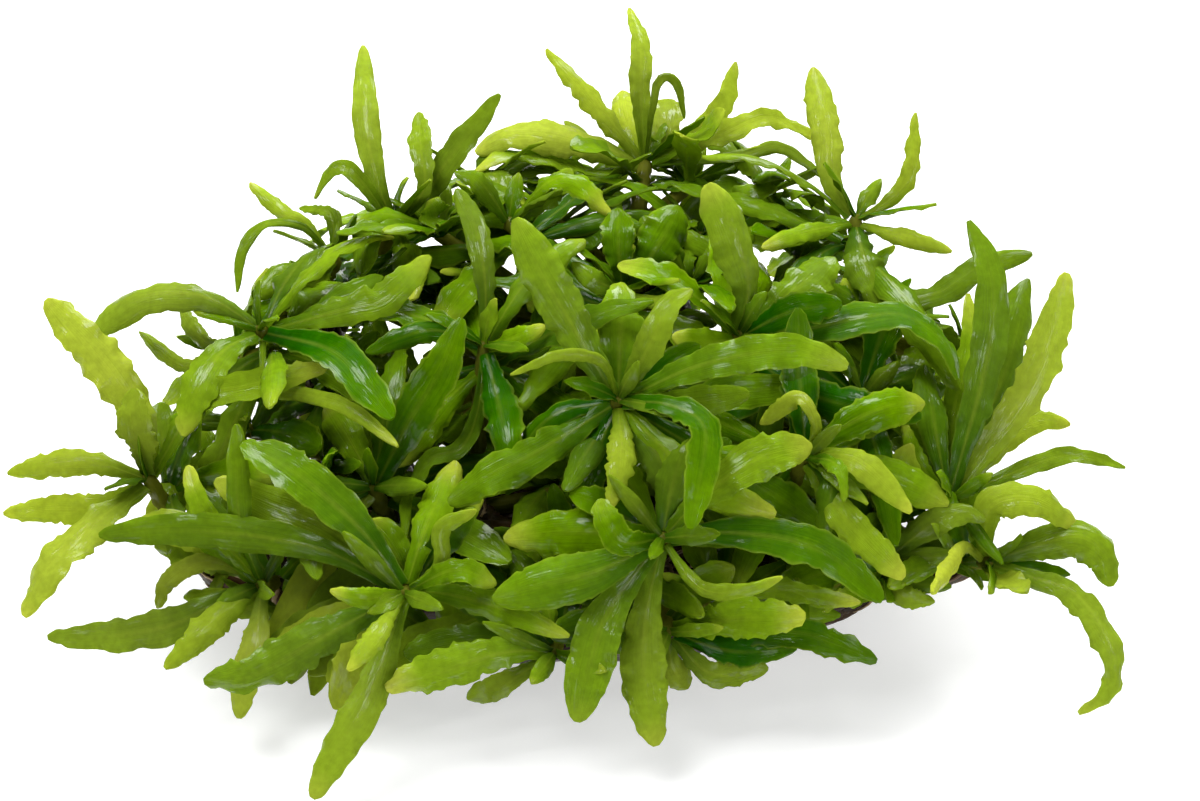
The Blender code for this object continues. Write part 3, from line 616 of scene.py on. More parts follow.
def stem_rings(crown, axis, distance, nearest, more=0.0):
    """A stem from inside the wood's surface up to the crown, with its bud."""
    way = (crown - nearest).normalized()
    foot = crown - way * (distance + STEM_SUNK)
    lean = (foot + crown) / 2 + axis * 1.0
    rings = []
    stations = (
        (foot, way, STEM_FOOT_RADIUS),
        (lean, way, STEM_RADIUS),
        (crown, axis, CROWN_RADIUS),
    )
    across = way.orthogonal().normalized()
    for centre, along, radius in stations:
        across = (across - along * across.dot(along)).normalized()
        other = along.cross(across)
        ring = []
        for i in range(STEM_SIDES):
            angle = math.tau * i / STEM_SIDES
            ring.append(centre + (across * math.cos(angle) + other * math.sin(angle)) * (radius + more))
        rings.append(ring)
    rings.append([crown + axis * (BUD_LENGTH + more)])
    return rings


def raise_stem(obstacles, name, crown, axis):
    """The shortest stem that is clear of the stems before it and doesn't bend back."""
    for distance, nearest in wood_feet(crown):
        if (crown - nearest).normalized().dot(axis) < STEM_STRAIGHT:
            continue
        fat = stem_rings(crown, axis, distance, nearest, CLEARANCE)
        if wood_distance((fat[0][0] + crown) / 2) > 0 and not obstacles.meets(fat, name, fat):
            break
    rings = stem_rings(crown, axis, distance, nearest)
    obstacles.add(name, rings)
    return rings


def place(obstacles, owner, points, width, face, blade):
    """The first swing of a leaf that is clear of everything, or None."""
    for trim, shift, bend in product(TRIMS if blade is BLADE else (FUSED_TRIM,), SHIFTS, BENDS):
        swung = moved(points, shift, bend)
        fat = leaf_rings(swung, width, face, blade, trim, CLEARANCE)
        if not clear_of_wood(fat) or obstacles.meets(fat, owner, fat[2:]):
            continue
        for squeeze in SQUEEZES:
            rings = leaf_rings(swung, width * squeeze, face, blade, trim)
            if not cuts_itself(rings):
                return rings, (swung, width * squeeze, face, blade, LEAF_START)
    return None


def fill_points(crown, axis, turn, chance):
    """A leaf out of the picture's sight, opening from the axis and drooping to its tip."""
    across = axis.orthogonal().normalized()
    radial = Matrix.Rotation(turn, 3, axis) @ across
    opening = chance.uniform(*FILL_OPENINGS)
    length = chance.uniform(*FILL_LENGTHS)
    way = axis * math.cos(opening) + radial * math.sin(opening)
    points = []
    for share in (0.0, 0.3, 0.65, 1.0):
        droop = Vector((0, 0, -1)) * FILL_DROOP * length * share ** 2
        points.append(crown + way * length * share + droop)
    return points


def grow():
    """Every rosette's stem, leaves of their own, leaves fused to it and the ways they turn."""
    chance = random.Random(SEED)
    crowns = {name: view_point(*reading) for name, reading in CROWNS.items()}
    crowns.update({name: Vector(point) for name, point in HIDDEN_CROWNS.items()})
    axes = {name: axis_of(crown) for name, crown in crowns.items()}
    obstacles = Obstacles()
    grown = {}
    for name in sorted(crowns, key=lambda name: wood_distance(crowns[name])):
        rings = raise_stem(obstacles, name, crowns[name], axes[name])
        stem = [sum(ring, Vector()) / len(ring) for ring in rings]
        grown[name] = {"stem": stem, "single": {}, "fused": [], "turns": []}

    def settle(name, row_name, points, width, face, blade):
        owner = row_name or name
        found = place(obstacles, owner, points, width, face, blade)
        if found is None:
            return False
        rings, leaf = found
        swung = leaf[0]
        obstacles.add(owner, rings, rings[2:])
        if row_name:
            grown[name]["single"][row_name] = leaf
        else:
            grown[name]["fused"].append(leaf)
        grown[name]["turns"].append((swung[1] + swung[-1]) / 2 - crowns[name])
        return True

    for single in (True, False):
        for name, rows in LEAVES.items():
            for row in rows:
                if bool(row[0]) != single:
                    continue
                face = (NEAR * 0.7 + axes[name] * 0.5).normalized()
                points = picture_leaf(CROWNS[name], row)
                if not settle(name, row[0], points, row[2], face, BLADE if single else SMALL_BLADE):
                    raise RuntimeError(f"no clear place for a leaf of {name} {row}")
    for name, crown in crowns.items():
        axis = axes[name]
        most = FILL_MOST["seen" if name in CROWNS else "hidden"]
        added = 0
        for i in range(FILL_TRIES):
            points = fill_points(crown, axis, FILL_TURN * i, chance)
            width = chance.uniform(*FILL_WIDTHS)
            if added >= most:
                continue
            if not all(in_mass(point) for point in points[1:]):
                continue
            way = points[2] - crown
            if name in CROWNS and way.dot(NEAR) > 4:
                continue
            way = (way - axis * way.dot(axis)).normalized()
            turns = [t - axis * t.dot(axis) for t in grown[name]["turns"]]
            if any(way.angle(turn) < FILL_LEAST_ANGLE for turn in turns if turn.length > 1):
                continue
            added += settle(name, "", points, width, axis, FILL_BLADE)
    return grown, axes, obstacles


# The finished leaves, as they are seen.
FINE = (48, 10)
MEDIUM = (40, 8)
LIGHT = (24, 6)
SMALL = (12, 4)
OUTLINES = {
    "strap": (
        (0.0, 0.42), (0.1, 0.44), (0.22, 0.6), (0.36, 0.84), (0.5, 0.97), (0.62, 1.0),
        (0.76, 0.92), (0.88, 0.72), (0.95, 0.5), (0.98, 0.36), (1.0, 0.16),
    ),
    "spoon": (
        (0.0, 0.34), (0.12, 0.38), (0.26, 0.56), (0.42, 0.82), (0.58, 1.0), (0.7, 1.0),
        (0.82, 0.88), (0.9, 0.68), (0.95, 0.5), (0.985, 0.32), (1.0, 0.14),
    ),
    "lance": (
        (0.0, 0.42), (0.12, 0.5), (0.26, 0.74), (0.42, 0.96), (0.54, 1.0), (0.68, 0.9),
        (0.8, 0.74), (0.9, 0.54), (0.96, 0.38), (1.0, 0.14),
    ),
}
# How leaves that stand out look, by the picture point of the tip: tone, pallor and outline.
LOOKS = {
    (515, 218): (0.55, 0.16, "strap"), (848, 366): (0.6, 0.08, "strap"), (690, 528): (0.35, 0.02, "strap"),
    (448, 502): (0.45, 0.06, "strap"), (512, 375): (0.7, 0.3, "lance"), (510, 480): (0.2, 0.0, "lance"),
    (692, 288): (0.6, 0.25, "lance"), (750, 393): (0.5, 0.12, "strap"), (610, 508): (0.9, 0.45, "lance"),
    (777, 512): (0.9, 0.15, "strap"), (828, 528): (0.3, 0.02, "strap"), (577, 723): (0.55, 0.12, "spoon"),
    (660, 745): (0.7, 0.25, "spoon"), (492, 598): (0.45, 0.06, "strap"), (885, 600): (0.3, 0.03, "strap"),
    (782, 577): (0.75, 0.25, "lance"), (240, 440): (0.4, 0.06, "strap"), (203, 684): (0.4, 0.15, "strap"),
    (309, 797): (0.7, 0.28, "strap"), (98, 536): (0.35, 0.12, "strap"), (46, 299): (0.85, 0.62, "strap"),
    (5, 475): (0.7, 0.55, "lance"), (18, 613): (0.85, 0.55, "strap"), (328, 365): (0.95, 0.2, "strap"),
    (3, 513): (0.95, 0.62, "lance"), (47, 637): (0.35, 0.25, "lance"), (165, 668): (0.7, 0.4, "lance"),
    (969, 219): (0.3, 0.12, "lance"), (1069, 271): (0.8, 0.45, "strap"), (1128, 465): (0.5, 0.2, "lance"),
    (1030, 278): (0.25, 0.12, "spoon"), (1069, 424): (0.95, 0.5, "strap"), (1079, 714): (0.7, 0.3, "lance"),
    (1114, 588): (0.55, 0.2, "strap"), (1082, 526): (0.95, 0.45, "lance"), (934, 592): (0.9, 0.85, "strap"),
    (632, 3): (0.8, 0.4, "lance"), (474, 150): (0.9, 0.6, "strap"), (546, 50): (0.85, 0.6, "lance"),
    (622, 88): (0.9, 0.7, "spoon"), (820, 136): (0.9, 0.55, "lance"), (735, 63): (0.8, 0.5, "lance"),
    (722, 108): (0.7, 0.15, "spoon"), (364, 42): (0.7, 0.35, "lance"), (500, 94): (0.35, 0.2, "lance"),
    (417, 110): (0.6, 0.25, "spoon"), (82, 338): (0.5, 0.3, "strap"), (392, 415): (0.2, 0.0, "strap"),
    (395, 440): (0.8, 0.3, "strap"), (813, 66): (0.8, 0.5, "strap"), (915, 113): (0.8, 0.5, "lance"),
    (953, 250): (0.9, 0.5, "lance"), (1035, 251): (0.25, 0.15, "strap"), (712, 182): (0.7, 0.2, "strap"),
    (958, 378): (0.25, 0.03, "strap"), (922, 415): (0.0, 0.0, "strap"), (842, 303): (0.1, 0.0, "strap"),
    (760, 425): (1.0, 0.6, "spoon"), (912, 510): (0.95, 0.45, "lance"), (905, 578): (1.0, 0.25, "strap"),
    (386, 690): (0.9, 0.15, "strap"), (805, 618): (0.9, 0.12, "strap"), (797, 648): (0.1, 0.0, "strap"),
    (876, 661): (0.15, 0.03, "strap"), (680, 205): (0.4, 0.03, "spoon"), (618, 207): (0.4, 0.03, "spoon"),
    (404, 545): (0.4, 0.1, "lance"), (475, 512): (0.7, 0.25, "strap"), (347, 668): (1.0, 0.4, "spoon"),
}
LOOK_REACH = 7.0
LEAF_START = 1.4
MIDDLE_THICKNESS = 0.27
EDGE_THICKNESS = 0.08
KEEL_DEPTH = 0.4
KEEL_WIDTH = 0.16
GROOVE_DEPTH = 0.12
CUP = (-0.5, 0.2)
WAVES = (3.0, 6.0)
WAVE_HEIGHT = (0.06, 0.26)
LOBES = (0.08, 0.34)
LOBE_STEPS = 34
TIP_CURL = (-1.8, 0.5)
LEAF_TWIST = math.radians(24)
NORMAL_SMOOTHING = 8
HEART_LEAVES = 3
HEART_LENGTHS = (8.0, 13.0)
HEART_WIDTHS = (2.4, 3.6)
HEART_OPENINGS = (math.radians(24), math.radians(60))


def deselect():
    """Nothing selected, so that the next operator acts only on what it is given."""
    bpy.ops.object.select_all(action="DESELECT")


def select_only(item):
    """One object selected and active."""
    deselect()
    item.select_set(True)
    bpy.context.view_layer.objects.active = item


def join(items, name):
    """Several objects made one, under a new name."""
    deselect()
    for item in items:
        item.select_set(True)
    bpy.context.view_layer.objects.active = items[0]
    if len(items) > 1:
        bpy.ops.object.join()
    joined = bpy.context.view_layer.objects.active
    joined.name = name
    joined.data.name = name
    return joined


def shade_smooth(item, angle=60):
    """Smooth shading with only sharp corners kept."""
    select_only(item)
    bpy.ops.object.shade_smooth_by_angle(angle=math.radians(angle))


def between_stations(stations, place):
    """A smooth value between stations, as (place, value) pairs."""
    for (a, low), (b, high) in zip(stations, stations[1:]):
        if place <= b:
            share = (place - a) / (b - a)
            return low + (high - low) * share
    return stations[-1][1]


def model_blade(name, outline, size):
    """A flat leaf from x = 0 to 1, one half width each way in y and one thickness in z."""
    rows, columns = size
    deselect()
    bpy.ops.mesh.primitive_grid_add(x_subdivisions=rows, y_subdivisions=columns, size=2)
    blade = bpy.context.active_object
    blade.name = name
    bpy.ops.object.mode_set(mode="EDIT")
    bpy.ops.mesh.select_all(action="SELECT")
    bpy.ops.transform.resize(value=(0.5, 1, 1))
    bpy.ops.transform.translate(value=(0.5, 0, 0))
    bpy.ops.mesh.select_mode(type="VERT")
    for row in range(rows + 1):
        place = row / rows
        bpy.ops.mesh.select_all(action="DESELECT")
        bpy.ops.object.mode_set(mode="OBJECT")
        for vertex in blade.data.vertices:
            vertex.select = abs(vertex.co.x - place) < 0.2 / rows
        bpy.ops.object.mode_set(mode="EDIT")
        bpy.ops.transform.resize(value=(1, between_stations(outline, place), 1))
    bpy.ops.object.mode_set(mode="OBJECT")
    thicken = blade.modifiers.new("thickness", "SOLIDIFY")
    thicken.thickness = 2.0
    thicken.offset = 0.0
    bpy.ops.object.modifier_apply(modifier=thicken.name)
    blade.data.attributes.new("leaf_look", "FLOAT_COLOR", "POINT")
    blade["rows"] = rows
    return blade


def coordinates(mesh):
    """A mesh's points as rows of numbers."""
    flat = np.empty(len(mesh.vertices) * 3)
    mesh.vertices.foreach_get("co", flat)
    return flat.reshape(-1, 3)


def leaf_frames(points, width, face, blade, start, rows):
    """Centre, side and normal at each row of a leaf, turned as its solid is."""
    path = smooth_path(points, 120)
    length = sum((b - a).length for a, b in zip(path, path[1:]))
    first = start / length
    keys = [(share, normal) for share, _, _, _, normal in leaf_stations(points, width, face, blade, start)]
    centres, ways, normals = [], [], []
    for row in range(rows + 1):
        place = row / rows
        centre, along = at_share(path, first + (1 - first) * place)
        for (a, low), (b, high) in zip(keys, keys[1:]):
            if place <= b:
                normal = low.lerp(high, (place - a) / (b - a))
                break
        centres.append(centre)
        ways.append(along)
        normals.append(normal)
    ways = np.array(ways)
    normals = np.array(normals)
    for _ in range(NORMAL_SMOOTHING):
        padded = np.vstack([normals[:1], normals, normals[-1:]])
        normals = (padded[:-2] + padded[1:-1] + padded[2:]) / 3
    normals = normals - ways * (normals * ways).sum(axis=1)[:, None]
    normals = normals / np.linalg.norm(normals, axis=1)[:, None]
    return np.array(centres), np.cross(ways, normals), normals, length * (1 - first)


def uneven_edge(u, v, out, chance):
    """How much wider or narrower a leaf is at its points, uneven along both of its edges."""
    size = chance.uniform(*LOBES)
    steps = np.linspace(0, 1, LOBE_STEPS)
    left = np.interp(u, steps, [chance.uniform(-1, 1) * chance.random() for _ in steps])
    right = np.interp(u, steps, [chance.uniform(-1, 1) * chance.random() for _ in steps])
    return 1 + size * np.where(v > 0, left, right) * out ** 3 * np.clip(u * 5, 0, 1)


def edge_waves(u, v, length, chance):
    """The rise and fall of a leaf's two edges, each with its own rhythm."""
    count = chance.uniform(*WAVES) * length / 38
    rise = 0.0
    for size, speed in ((1.0, 1.0), (0.5, 2.4)):
        left = np.sin((u * count * speed + chance.random()) * math.tau)
        right = np.sin((u * count * speed * 1.13 + chance.random()) * math.tau)
        rise = rise + size * np.where(v > 0, left, right)
    return rise * np.sin(np.clip(u, 0, 1) * math.pi) ** 0.5


def bend_leaf(blade, leaf, chance, look):
    """A copy of a flat leaf, bent along its curve, waved at its edges and given its thickness."""
    points, width, face, kind, start = leaf
    copy = blade.copy()
    copy.data = blade.data.copy()
    bpy.context.collection.objects.link(copy)
    flat = coordinates(copy.data)
    rows = blade["rows"]
    centres, sides, normals, length = leaf_frames(points, width, face, kind, start, rows)
    u, v, w = flat[:, 0], flat[:, 1], flat[:, 2]
    row = np.clip(np.rint(u * rows).astype(int), 0, rows)
    reach = np.zeros(rows + 1)
    np.maximum.at(reach, row, np.abs(v))
    out = np.abs(v) / reach[row]
    half = width / 2
    centre, side, normal = centres[row], sides[row], normals[row]
    twist = (chance.uniform(-LEAF_TWIST, LEAF_TWIST) * u)[:, None]
    rise = chance.uniform(*CUP) * out ** 2 * reach[row] * half
    rise = rise + chance.uniform(*WAVE_HEIGHT) * half * edge_waves(u, v, length, chance) * out ** 2
    rise = rise + chance.uniform(*TIP_CURL) * min(1.0, length / 30) * np.clip((u - 0.6) / 0.4, 0, 1) ** 2
    across = v * half * uneven_edge(u, v, out, chance)
    near_middle = np.exp(-(across / (KEEL_WIDTH * half + 0.12)) ** 2)
    thick = EDGE_THICKNESS + (MIDDLE_THICKNESS - EDGE_THICKNESS) * np.sqrt(1 - np.clip(out, 0, 1) ** 3)
    keel = KEEL_DEPTH * near_middle * (1 - 0.8 * u)
    groove = GROOVE_DEPTH * near_middle * (1 - 0.5 * u)
    lift = rise + np.where(w > 0, thick - groove, -thick - keel)
    turned_side = side * np.cos(twist) + normal * np.sin(twist)
    turned_normal = normal * np.cos(twist) - side * np.sin(twist)
    placed = (centre + turned_side * across[:, None] + turned_normal * lift[:, None]) * MM
    copy.data.vertices.foreach_set("co", placed.ravel())
    tint(copy, look)
    copy.data.update()
    return copy


def tint(item, look):
    """The look of all of a piece: tone, pallor, and how much of it is stem."""
    attribute = item.data.attributes.get("leaf_look") or item.data.attributes.new("leaf_look", "FLOAT_COLOR", "POINT")
    attribute.data.foreach_set("color", np.tile((*look, 1.0), len(item.data.vertices)))


def tube(name, points, radii, sides):
    """A closed round shoot, root or branch along points in mm."""
    curve = bpy.data.curves.new(name, "CURVE")
    curve.dimensions = "3D"
    curve.bevel_depth = MM
    curve.bevel_resolution = sides // 4
    curve.use_fill_caps = True
    curve.twist_mode = "MINIMUM"
    spline = curve.splines.new("POLY")
    spline.points.add(len(points) - 1)
    for knot, point, radius in zip(spline.points, points, radii):
        knot.co = (*(Vector(point) * MM), 1.0)
        knot.radius = radius
    item = bpy.data.objects.new(name, curve)
    bpy.context.collection.objects.link(item)
    select_only(item)
    bpy.ops.object.convert(target="MESH")
    item = bpy.context.active_object
    bpy.ops.object.mode_set(mode="EDIT")
    bpy.ops.mesh.select_all(action="SELECT")
    bpy.ops.mesh.remove_doubles(threshold=MM * 0.01)
    bpy.ops.mesh.normals_make_consistent(inside=False)
    bpy.ops.object.mode_set(mode="OBJECT")
    return item


# Lower leaves and side shoots, past the limit of the solids, as a picture point and a depth in mm.
EXTRA_TRIES = 48
EXTRA_WIDTHS = (4.2, 7.0)
EXTRA_DROOPS = (0.1, 0.45)
EXTRA_LEAST_ANGLE = math.radians(26)
FACE_VIEWER = 0.8
UNDER_DEPTH = 4.0
UNDER_MOST = 6
UNDER_LENGTHS = (18.0, 32.0)
UNDER_OPENINGS = (math.radians(62), math.radians(100))
SHOOT_MOST = 9
SHOOT_LENGTHS = (16.0, 30.0)
SHOOT_OPENINGS = (math.radians(35), math.radians(88))
SHOOTS = (
    (430, 440, -4), (520, 310, -14), (325, 400, -6), (700, 240, -22), (560, 480, 2), (690, 430, 4),
    (790, 560, 10), (860, 480, -4), (450, 545, 8), (340, 560, 2), (600, 590, 12), (770, 300, -16),
    (900, 410, -10), (250, 430, -8), (590, 200, -30), (480, 190, -22), (760, 400, -2), (620, 350, -12),
    (440, 300, -14), (820, 340, -14), (720, 600, 14), (500, 610, 14), (240, 540, 2), (930, 560, 0),
    (560, 225, -20), (690, 185, -30), (770, 195, -30), (440, 235, -14), (800, 255, -20), (880, 320, -10),
    (360, 300, -10), (560, 400, 0), (690, 290, -8), (880, 580, 10), (955, 562, 6), (440, 640, 14),
    (330, 470, 4), (860, 400, 0), (620, 480, 8), (760, 500, 12), (300, 620, 8), (570, 560, 14),
)
# Middle and reach, in picture points, of the painted glow that makes leaves round the clump's rim paler.
RIM_GLOW_CENTRE = (600.0, 410.0)
RIM_GLOW_REACH = (530.0, 330.0)


# The finished driftwood and its roots.
WOOD_VOXEL = 0.75
WOOD_SINK = 0.7
RIDGE_HEIGHT = 1.0
FINE_HEIGHT = 0.4
LUMP_HEIGHT = 0.9
CRACK_DEPTH = 1.1
ROOTS_PER_STEM = 3
ROOT_STEP = 1.6
ROOT_LENGTHS = (12, 34)
ROOT_RADII = (0.45, 0.16)


def wood_place(point):
    """Where a point lies on the wood: along the grain, the way out from it, and its radius."""
    starts, ends, first_radii, last_radii = WOOD_SEGMENTS
    way = ends - starts
    offset = np.array(point) - starts
    share = np.clip((offset * way).sum(axis=1) / (way * way).sum(axis=1), 0.0, 1.0)
    nearest = starts + way * share[:, None]
    radius = first_radii + (last_radii - first_radii) * share
    gap = np.linalg.norm(np.array(point) - nearest, axis=1) - radius
    best = int(gap.argmin())
    lengths = np.linalg.norm(way, axis=1)
    along = float(lengths[:best].sum() + lengths[best] * share[best])
    axis = Vector(way[best]).normalized()
    out = Vector(np.array(point) - nearest[best])
    out = (out - axis * out.dot(axis)).normalized()
    across = Vector((0, 0, 1)) - axis * axis.z
    across = across.normalized() if across.length > 0.2 else Vector((1, 0, 0))
    other = axis.cross(across)
    return along, out.dot(across), out.dot(other), radius[best]


def model_driftwood():
    """One gnarled piece of wood from its six branches, with grooves along the grain."""
    branches = []
    for name, points in WOOD.items():
        steps = (len(points) - 1) * 6
        path = smooth_path([Vector(point[:3]) for point in points], steps)
        radii = []
        for index in range(steps + 1):
            place = index / steps * (len(points) - 1)
            low = min(int(place), len(points) - 2)
            radii.append(points[low][3] + (points[low + 1][3] - points[low][3]) * (place - low))
        end = (path[-1] - path[-2]).normalized()
        for reach, narrow in ((0.35, 0.82), (0.6, 0.45)):
            path.append(path[steps] + end * radii[steps] * reach)
            radii.append(radii[steps] * narrow)
        branches.append(tube(name + "_form", path, radii, 16))
    wood = join(branches, "driftwood")
    select_only(wood)
    remesh = wood.modifiers.new("one_surface", "REMESH")
    remesh.mode = "VOXEL"
    remesh.voxel_size = WOOD_VOXEL * MM
    bpy.ops.object.modifier_apply(modifier=remesh.name)
    soften = wood.modifiers.new("soften", "SMOOTH")
    soften.iterations = 4
    bpy.ops.object.modifier_apply(modifier=soften.name)
    wood.data.materials.clear()
    grain = []
    moved_points = []
    for vertex in wood.data.vertices:
        point = vertex.co / MM
        along, across, other, radius = wood_place(point)
        ring = Vector((along * 0.035, across * 1.7, other * 1.7))
        ridge = noise.noise(ring)
        fine = noise.noise(Vector((along * 0.1, across * 5.5, other * 5.5)))
        lump = noise.noise(point * 0.09)
        crack = max(0.0, 1 - abs(noise.noise(Vector((along * 0.03 + 9, across * 3.2, other * 3.2)))) / 0.07)
        out = RIDGE_HEIGHT * ridge + FINE_HEIGHT * fine + LUMP_HEIGHT * lump - CRACK_DEPTH * crack - WOOD_SINK
        placed = point + vertex.normal * out * min(1.0, radius / 8)
        placed.z = max(placed.z, 0.0)
        moved_points.append(placed * MM)
        grain += [along * MM, across * radius * MM, other * radius * MM]
    wood.data.vertices.foreach_set("co", [value for point in moved_points for value in point])
    lines = wood.data.attributes.new("grain", "FLOAT_VECTOR", "POINT")
    lines.data.foreach_set("vector", grain)
    wood.data.update()
    shade_smooth(wood, 50)
    return wood


def creep(surface, start, way, length, chance):
    """A root's points along the wood's surface."""
    points = []
    point = start
    while len(points) < length / ROOT_STEP:
        place, normal, _, _ = surface.find_nearest(point * MM)
        point = place / MM + normal * 0.25
        point.z = max(point.z, 0.6)
        points.append(point.copy())
        wander = Vector([chance.uniform(-0.55, 0.55) for _ in range(3)])
        way = way + wander
        way = (way - normal * way.dot(normal)).normalized()
        point = point + way * ROOT_STEP
    return points


def model_roots(wood, grown):
    """Fine roots that creep from each stem's foot over the wood."""
    chance = random.Random(SEED + 3)
    surface = BVHTree.FromPolygons(
        [vertex.co for vertex in wood.data.vertices], [face.vertices for face in wood.data.polygons]
    )
    roots = []
    for name, pieces in grown.items():
        foot = pieces["stem"][0]
        for index in range(ROOTS_PER_STEM):
            way = Vector([chance.uniform(-1, 1) for _ in range(3)]).normalized()
            points = creep(surface, foot, way, chance.uniform(*ROOT_LENGTHS), chance)
            radii = [
                ROOT_RADII[0] + (ROOT_RADII[1] - ROOT_RADII[0]) * i / (len(points) - 1) for i in range(len(points))
            ]
            roots.append(tube(f"root_{name}_{index}", points, radii, 8))
    joined = join(roots, "roots")
    shade_smooth(joined)
    return joined


def model_stem(name, stem):
    """A round, jointed stem from the wood up to the crown, ending in a small bud."""
    foot, lean, crown, tip = stem
    path = smooth_path([foot, lean, crown], 16)
    radii = []
    for index in range(len(path)):
        place = index / 16
        joint = math.exp(-(((place * 5) % 1 - 0.5) / 0.16) ** 2)
        radii.append(1.5 + 0.3 * joint - 0.25 * place)
    axis = (tip - crown).normalized()
    for reach, radius in ((0.8, 0.95), (1.5, 0.45)):
        path.append(crown + axis * reach)
        radii.append(radius)
    item = tube(f"{name}_stem", path, radii, 12)
    tint(item, (0.5, 0.3, 1.0))
    return item


def heart_leaves(crown, axis, chance):
    """The smallest leaves of a rosette's heart, as curves, each with its width."""
    leaves = []
    across = axis.orthogonal().normalized()
    for index in range(HEART_LEAVES):
        radial = Matrix.Rotation(FILL_TURN * index + chance.uniform(-0.3, 0.3), 3, axis) @ across
        opening = HEART_OPENINGS[0] + (HEART_OPENINGS[1] - HEART_OPENINGS[0]) * index / (HEART_LEAVES - 1)
        length = HEART_LENGTHS[0] + (HEART_LENGTHS[1] - HEART_LENGTHS[0]) * index / (HEART_LEAVES - 1)
        way = axis * math.cos(opening) + radial * math.sin(opening)
        base = crown + axis * 0.8
        points = [base, base + way * length * 0.5, base + way * length + radial * length * 0.12]
        leaves.append((points, chance.uniform(*HEART_WIDTHS), axis, FILL_BLADE, 0.2))
    return leaves


def fill_leaves(obstacles, name, crown, axis, turns, most, lengths, openings, chance):
    """More leaves round a stem, in the gaps that its other leaves leave."""
    found = []
    for index in range(EXTRA_TRIES):
        length = chance.uniform(*lengths)
        opening = chance.uniform(*openings)
        width = chance.uniform(*EXTRA_WIDTHS)
        droop = chance.uniform(*EXTRA_DROOPS)
        if len(found) >= most:
            continue
        radial = Matrix.Rotation(FILL_TURN * index, 3, axis) @ axis.orthogonal().normalized()
        way = axis * math.cos(opening) + radial * math.sin(opening)
        points = [
            crown + way * length * share + Vector((0, 0, -1)) * droop * length * share ** 2
            for share in (0.0, 0.3, 0.65, 1.0)
        ]
        if not all(in_mass(point) for point in points[2:]):
            continue
        flat_way = (way - axis * way.dot(axis)).normalized()
        if any(flat_way.angle(turn) < EXTRA_LEAST_ANGLE for turn in turns if turn.length > 0.1):
            continue
        face = (axis + NEAR * FACE_VIEWER).normalized() if axis.dot(NEAR) > -0.3 else axis
        placed = place(obstacles, name, points, width, face, FILL_BLADE)
        if placed is None:
            continue
        rings, leaf = placed
        obstacles.add(name, rings, rings[2:])
        turns.append(flat_way)
        found.append(leaf)
    return found


def thicken_clump(grown, axes, obstacles):
    """Side shoots and lower leaves that fill the clump between its rosettes."""
    chance = random.Random(SEED + 2)
    added = {name: {"stems": [], "leaves": []} for name in grown}
    crowns = {name: pieces["stem"][2] for name, pieces in grown.items()}
    for name in grown:
        lower = crowns[name] - axes[name] * UNDER_DEPTH
        leaves = fill_leaves(
            obstacles, name, lower, axes[name], [], UNDER_MOST, UNDER_LENGTHS, UNDER_OPENINGS, chance
        )
        added[name]["leaves"] += leaves
    for number, reading in enumerate(SHOOTS):
        crown = view_point(*reading)
        axis = axis_of(crown)
        nearest = min(crowns, key=lambda name: (crowns[name] - crown).length)
        shoot = f"shoot_{number}"
        rings = raise_stem(obstacles, shoot, crown, axis)
        added[nearest]["stems"].append([sum(ring, Vector()) / len(ring) for ring in rings])
        added[nearest]["leaves"] += fill_leaves(
            obstacles, shoot, crown, axis, [], SHOOT_MOST, SHOOT_LENGTHS, SHOOT_OPENINGS, chance
        )
    return added


def painted_rim_glow(leaf):
    """How much painted glow a leaf gets: leaves round the clump's rim are painted palest, as if lit through, and
    those in its middle are left darker, as painted shade.
    """
    parts = zip(seen_at(leaf[0][-1]), RIM_GLOW_CENTRE, RIM_GLOW_REACH)
    reach = math.sqrt(sum(((part - centre) / size) ** 2 for part, centre, size in parts))
    return min(1.0, max(0.0, (reach - 0.72) / 0.33))


def look_of(leaf, chance):
    """A leaf's look and outline: as read from the picture, or by chance with a painted glow on leaves round the
    clump's rim.
    """
    x, y = seen_at(leaf[0][-1])
    for (across, down), (tone, pallor, shape) in LOOKS.items():
        if math.hypot(x - across, y - down) < LOOK_REACH:
            return (tone, pallor, 0.0), shape
    # Pallor by chance, plus a painted glow on leaves round the clump's rim.
    pallor = chance.uniform(0.0, 0.16) + 0.5 * painted_rim_glow(leaf)
    return (chance.uniform(0.05, 0.95), pallor, 0.0), chance.choice(list(OUTLINES))


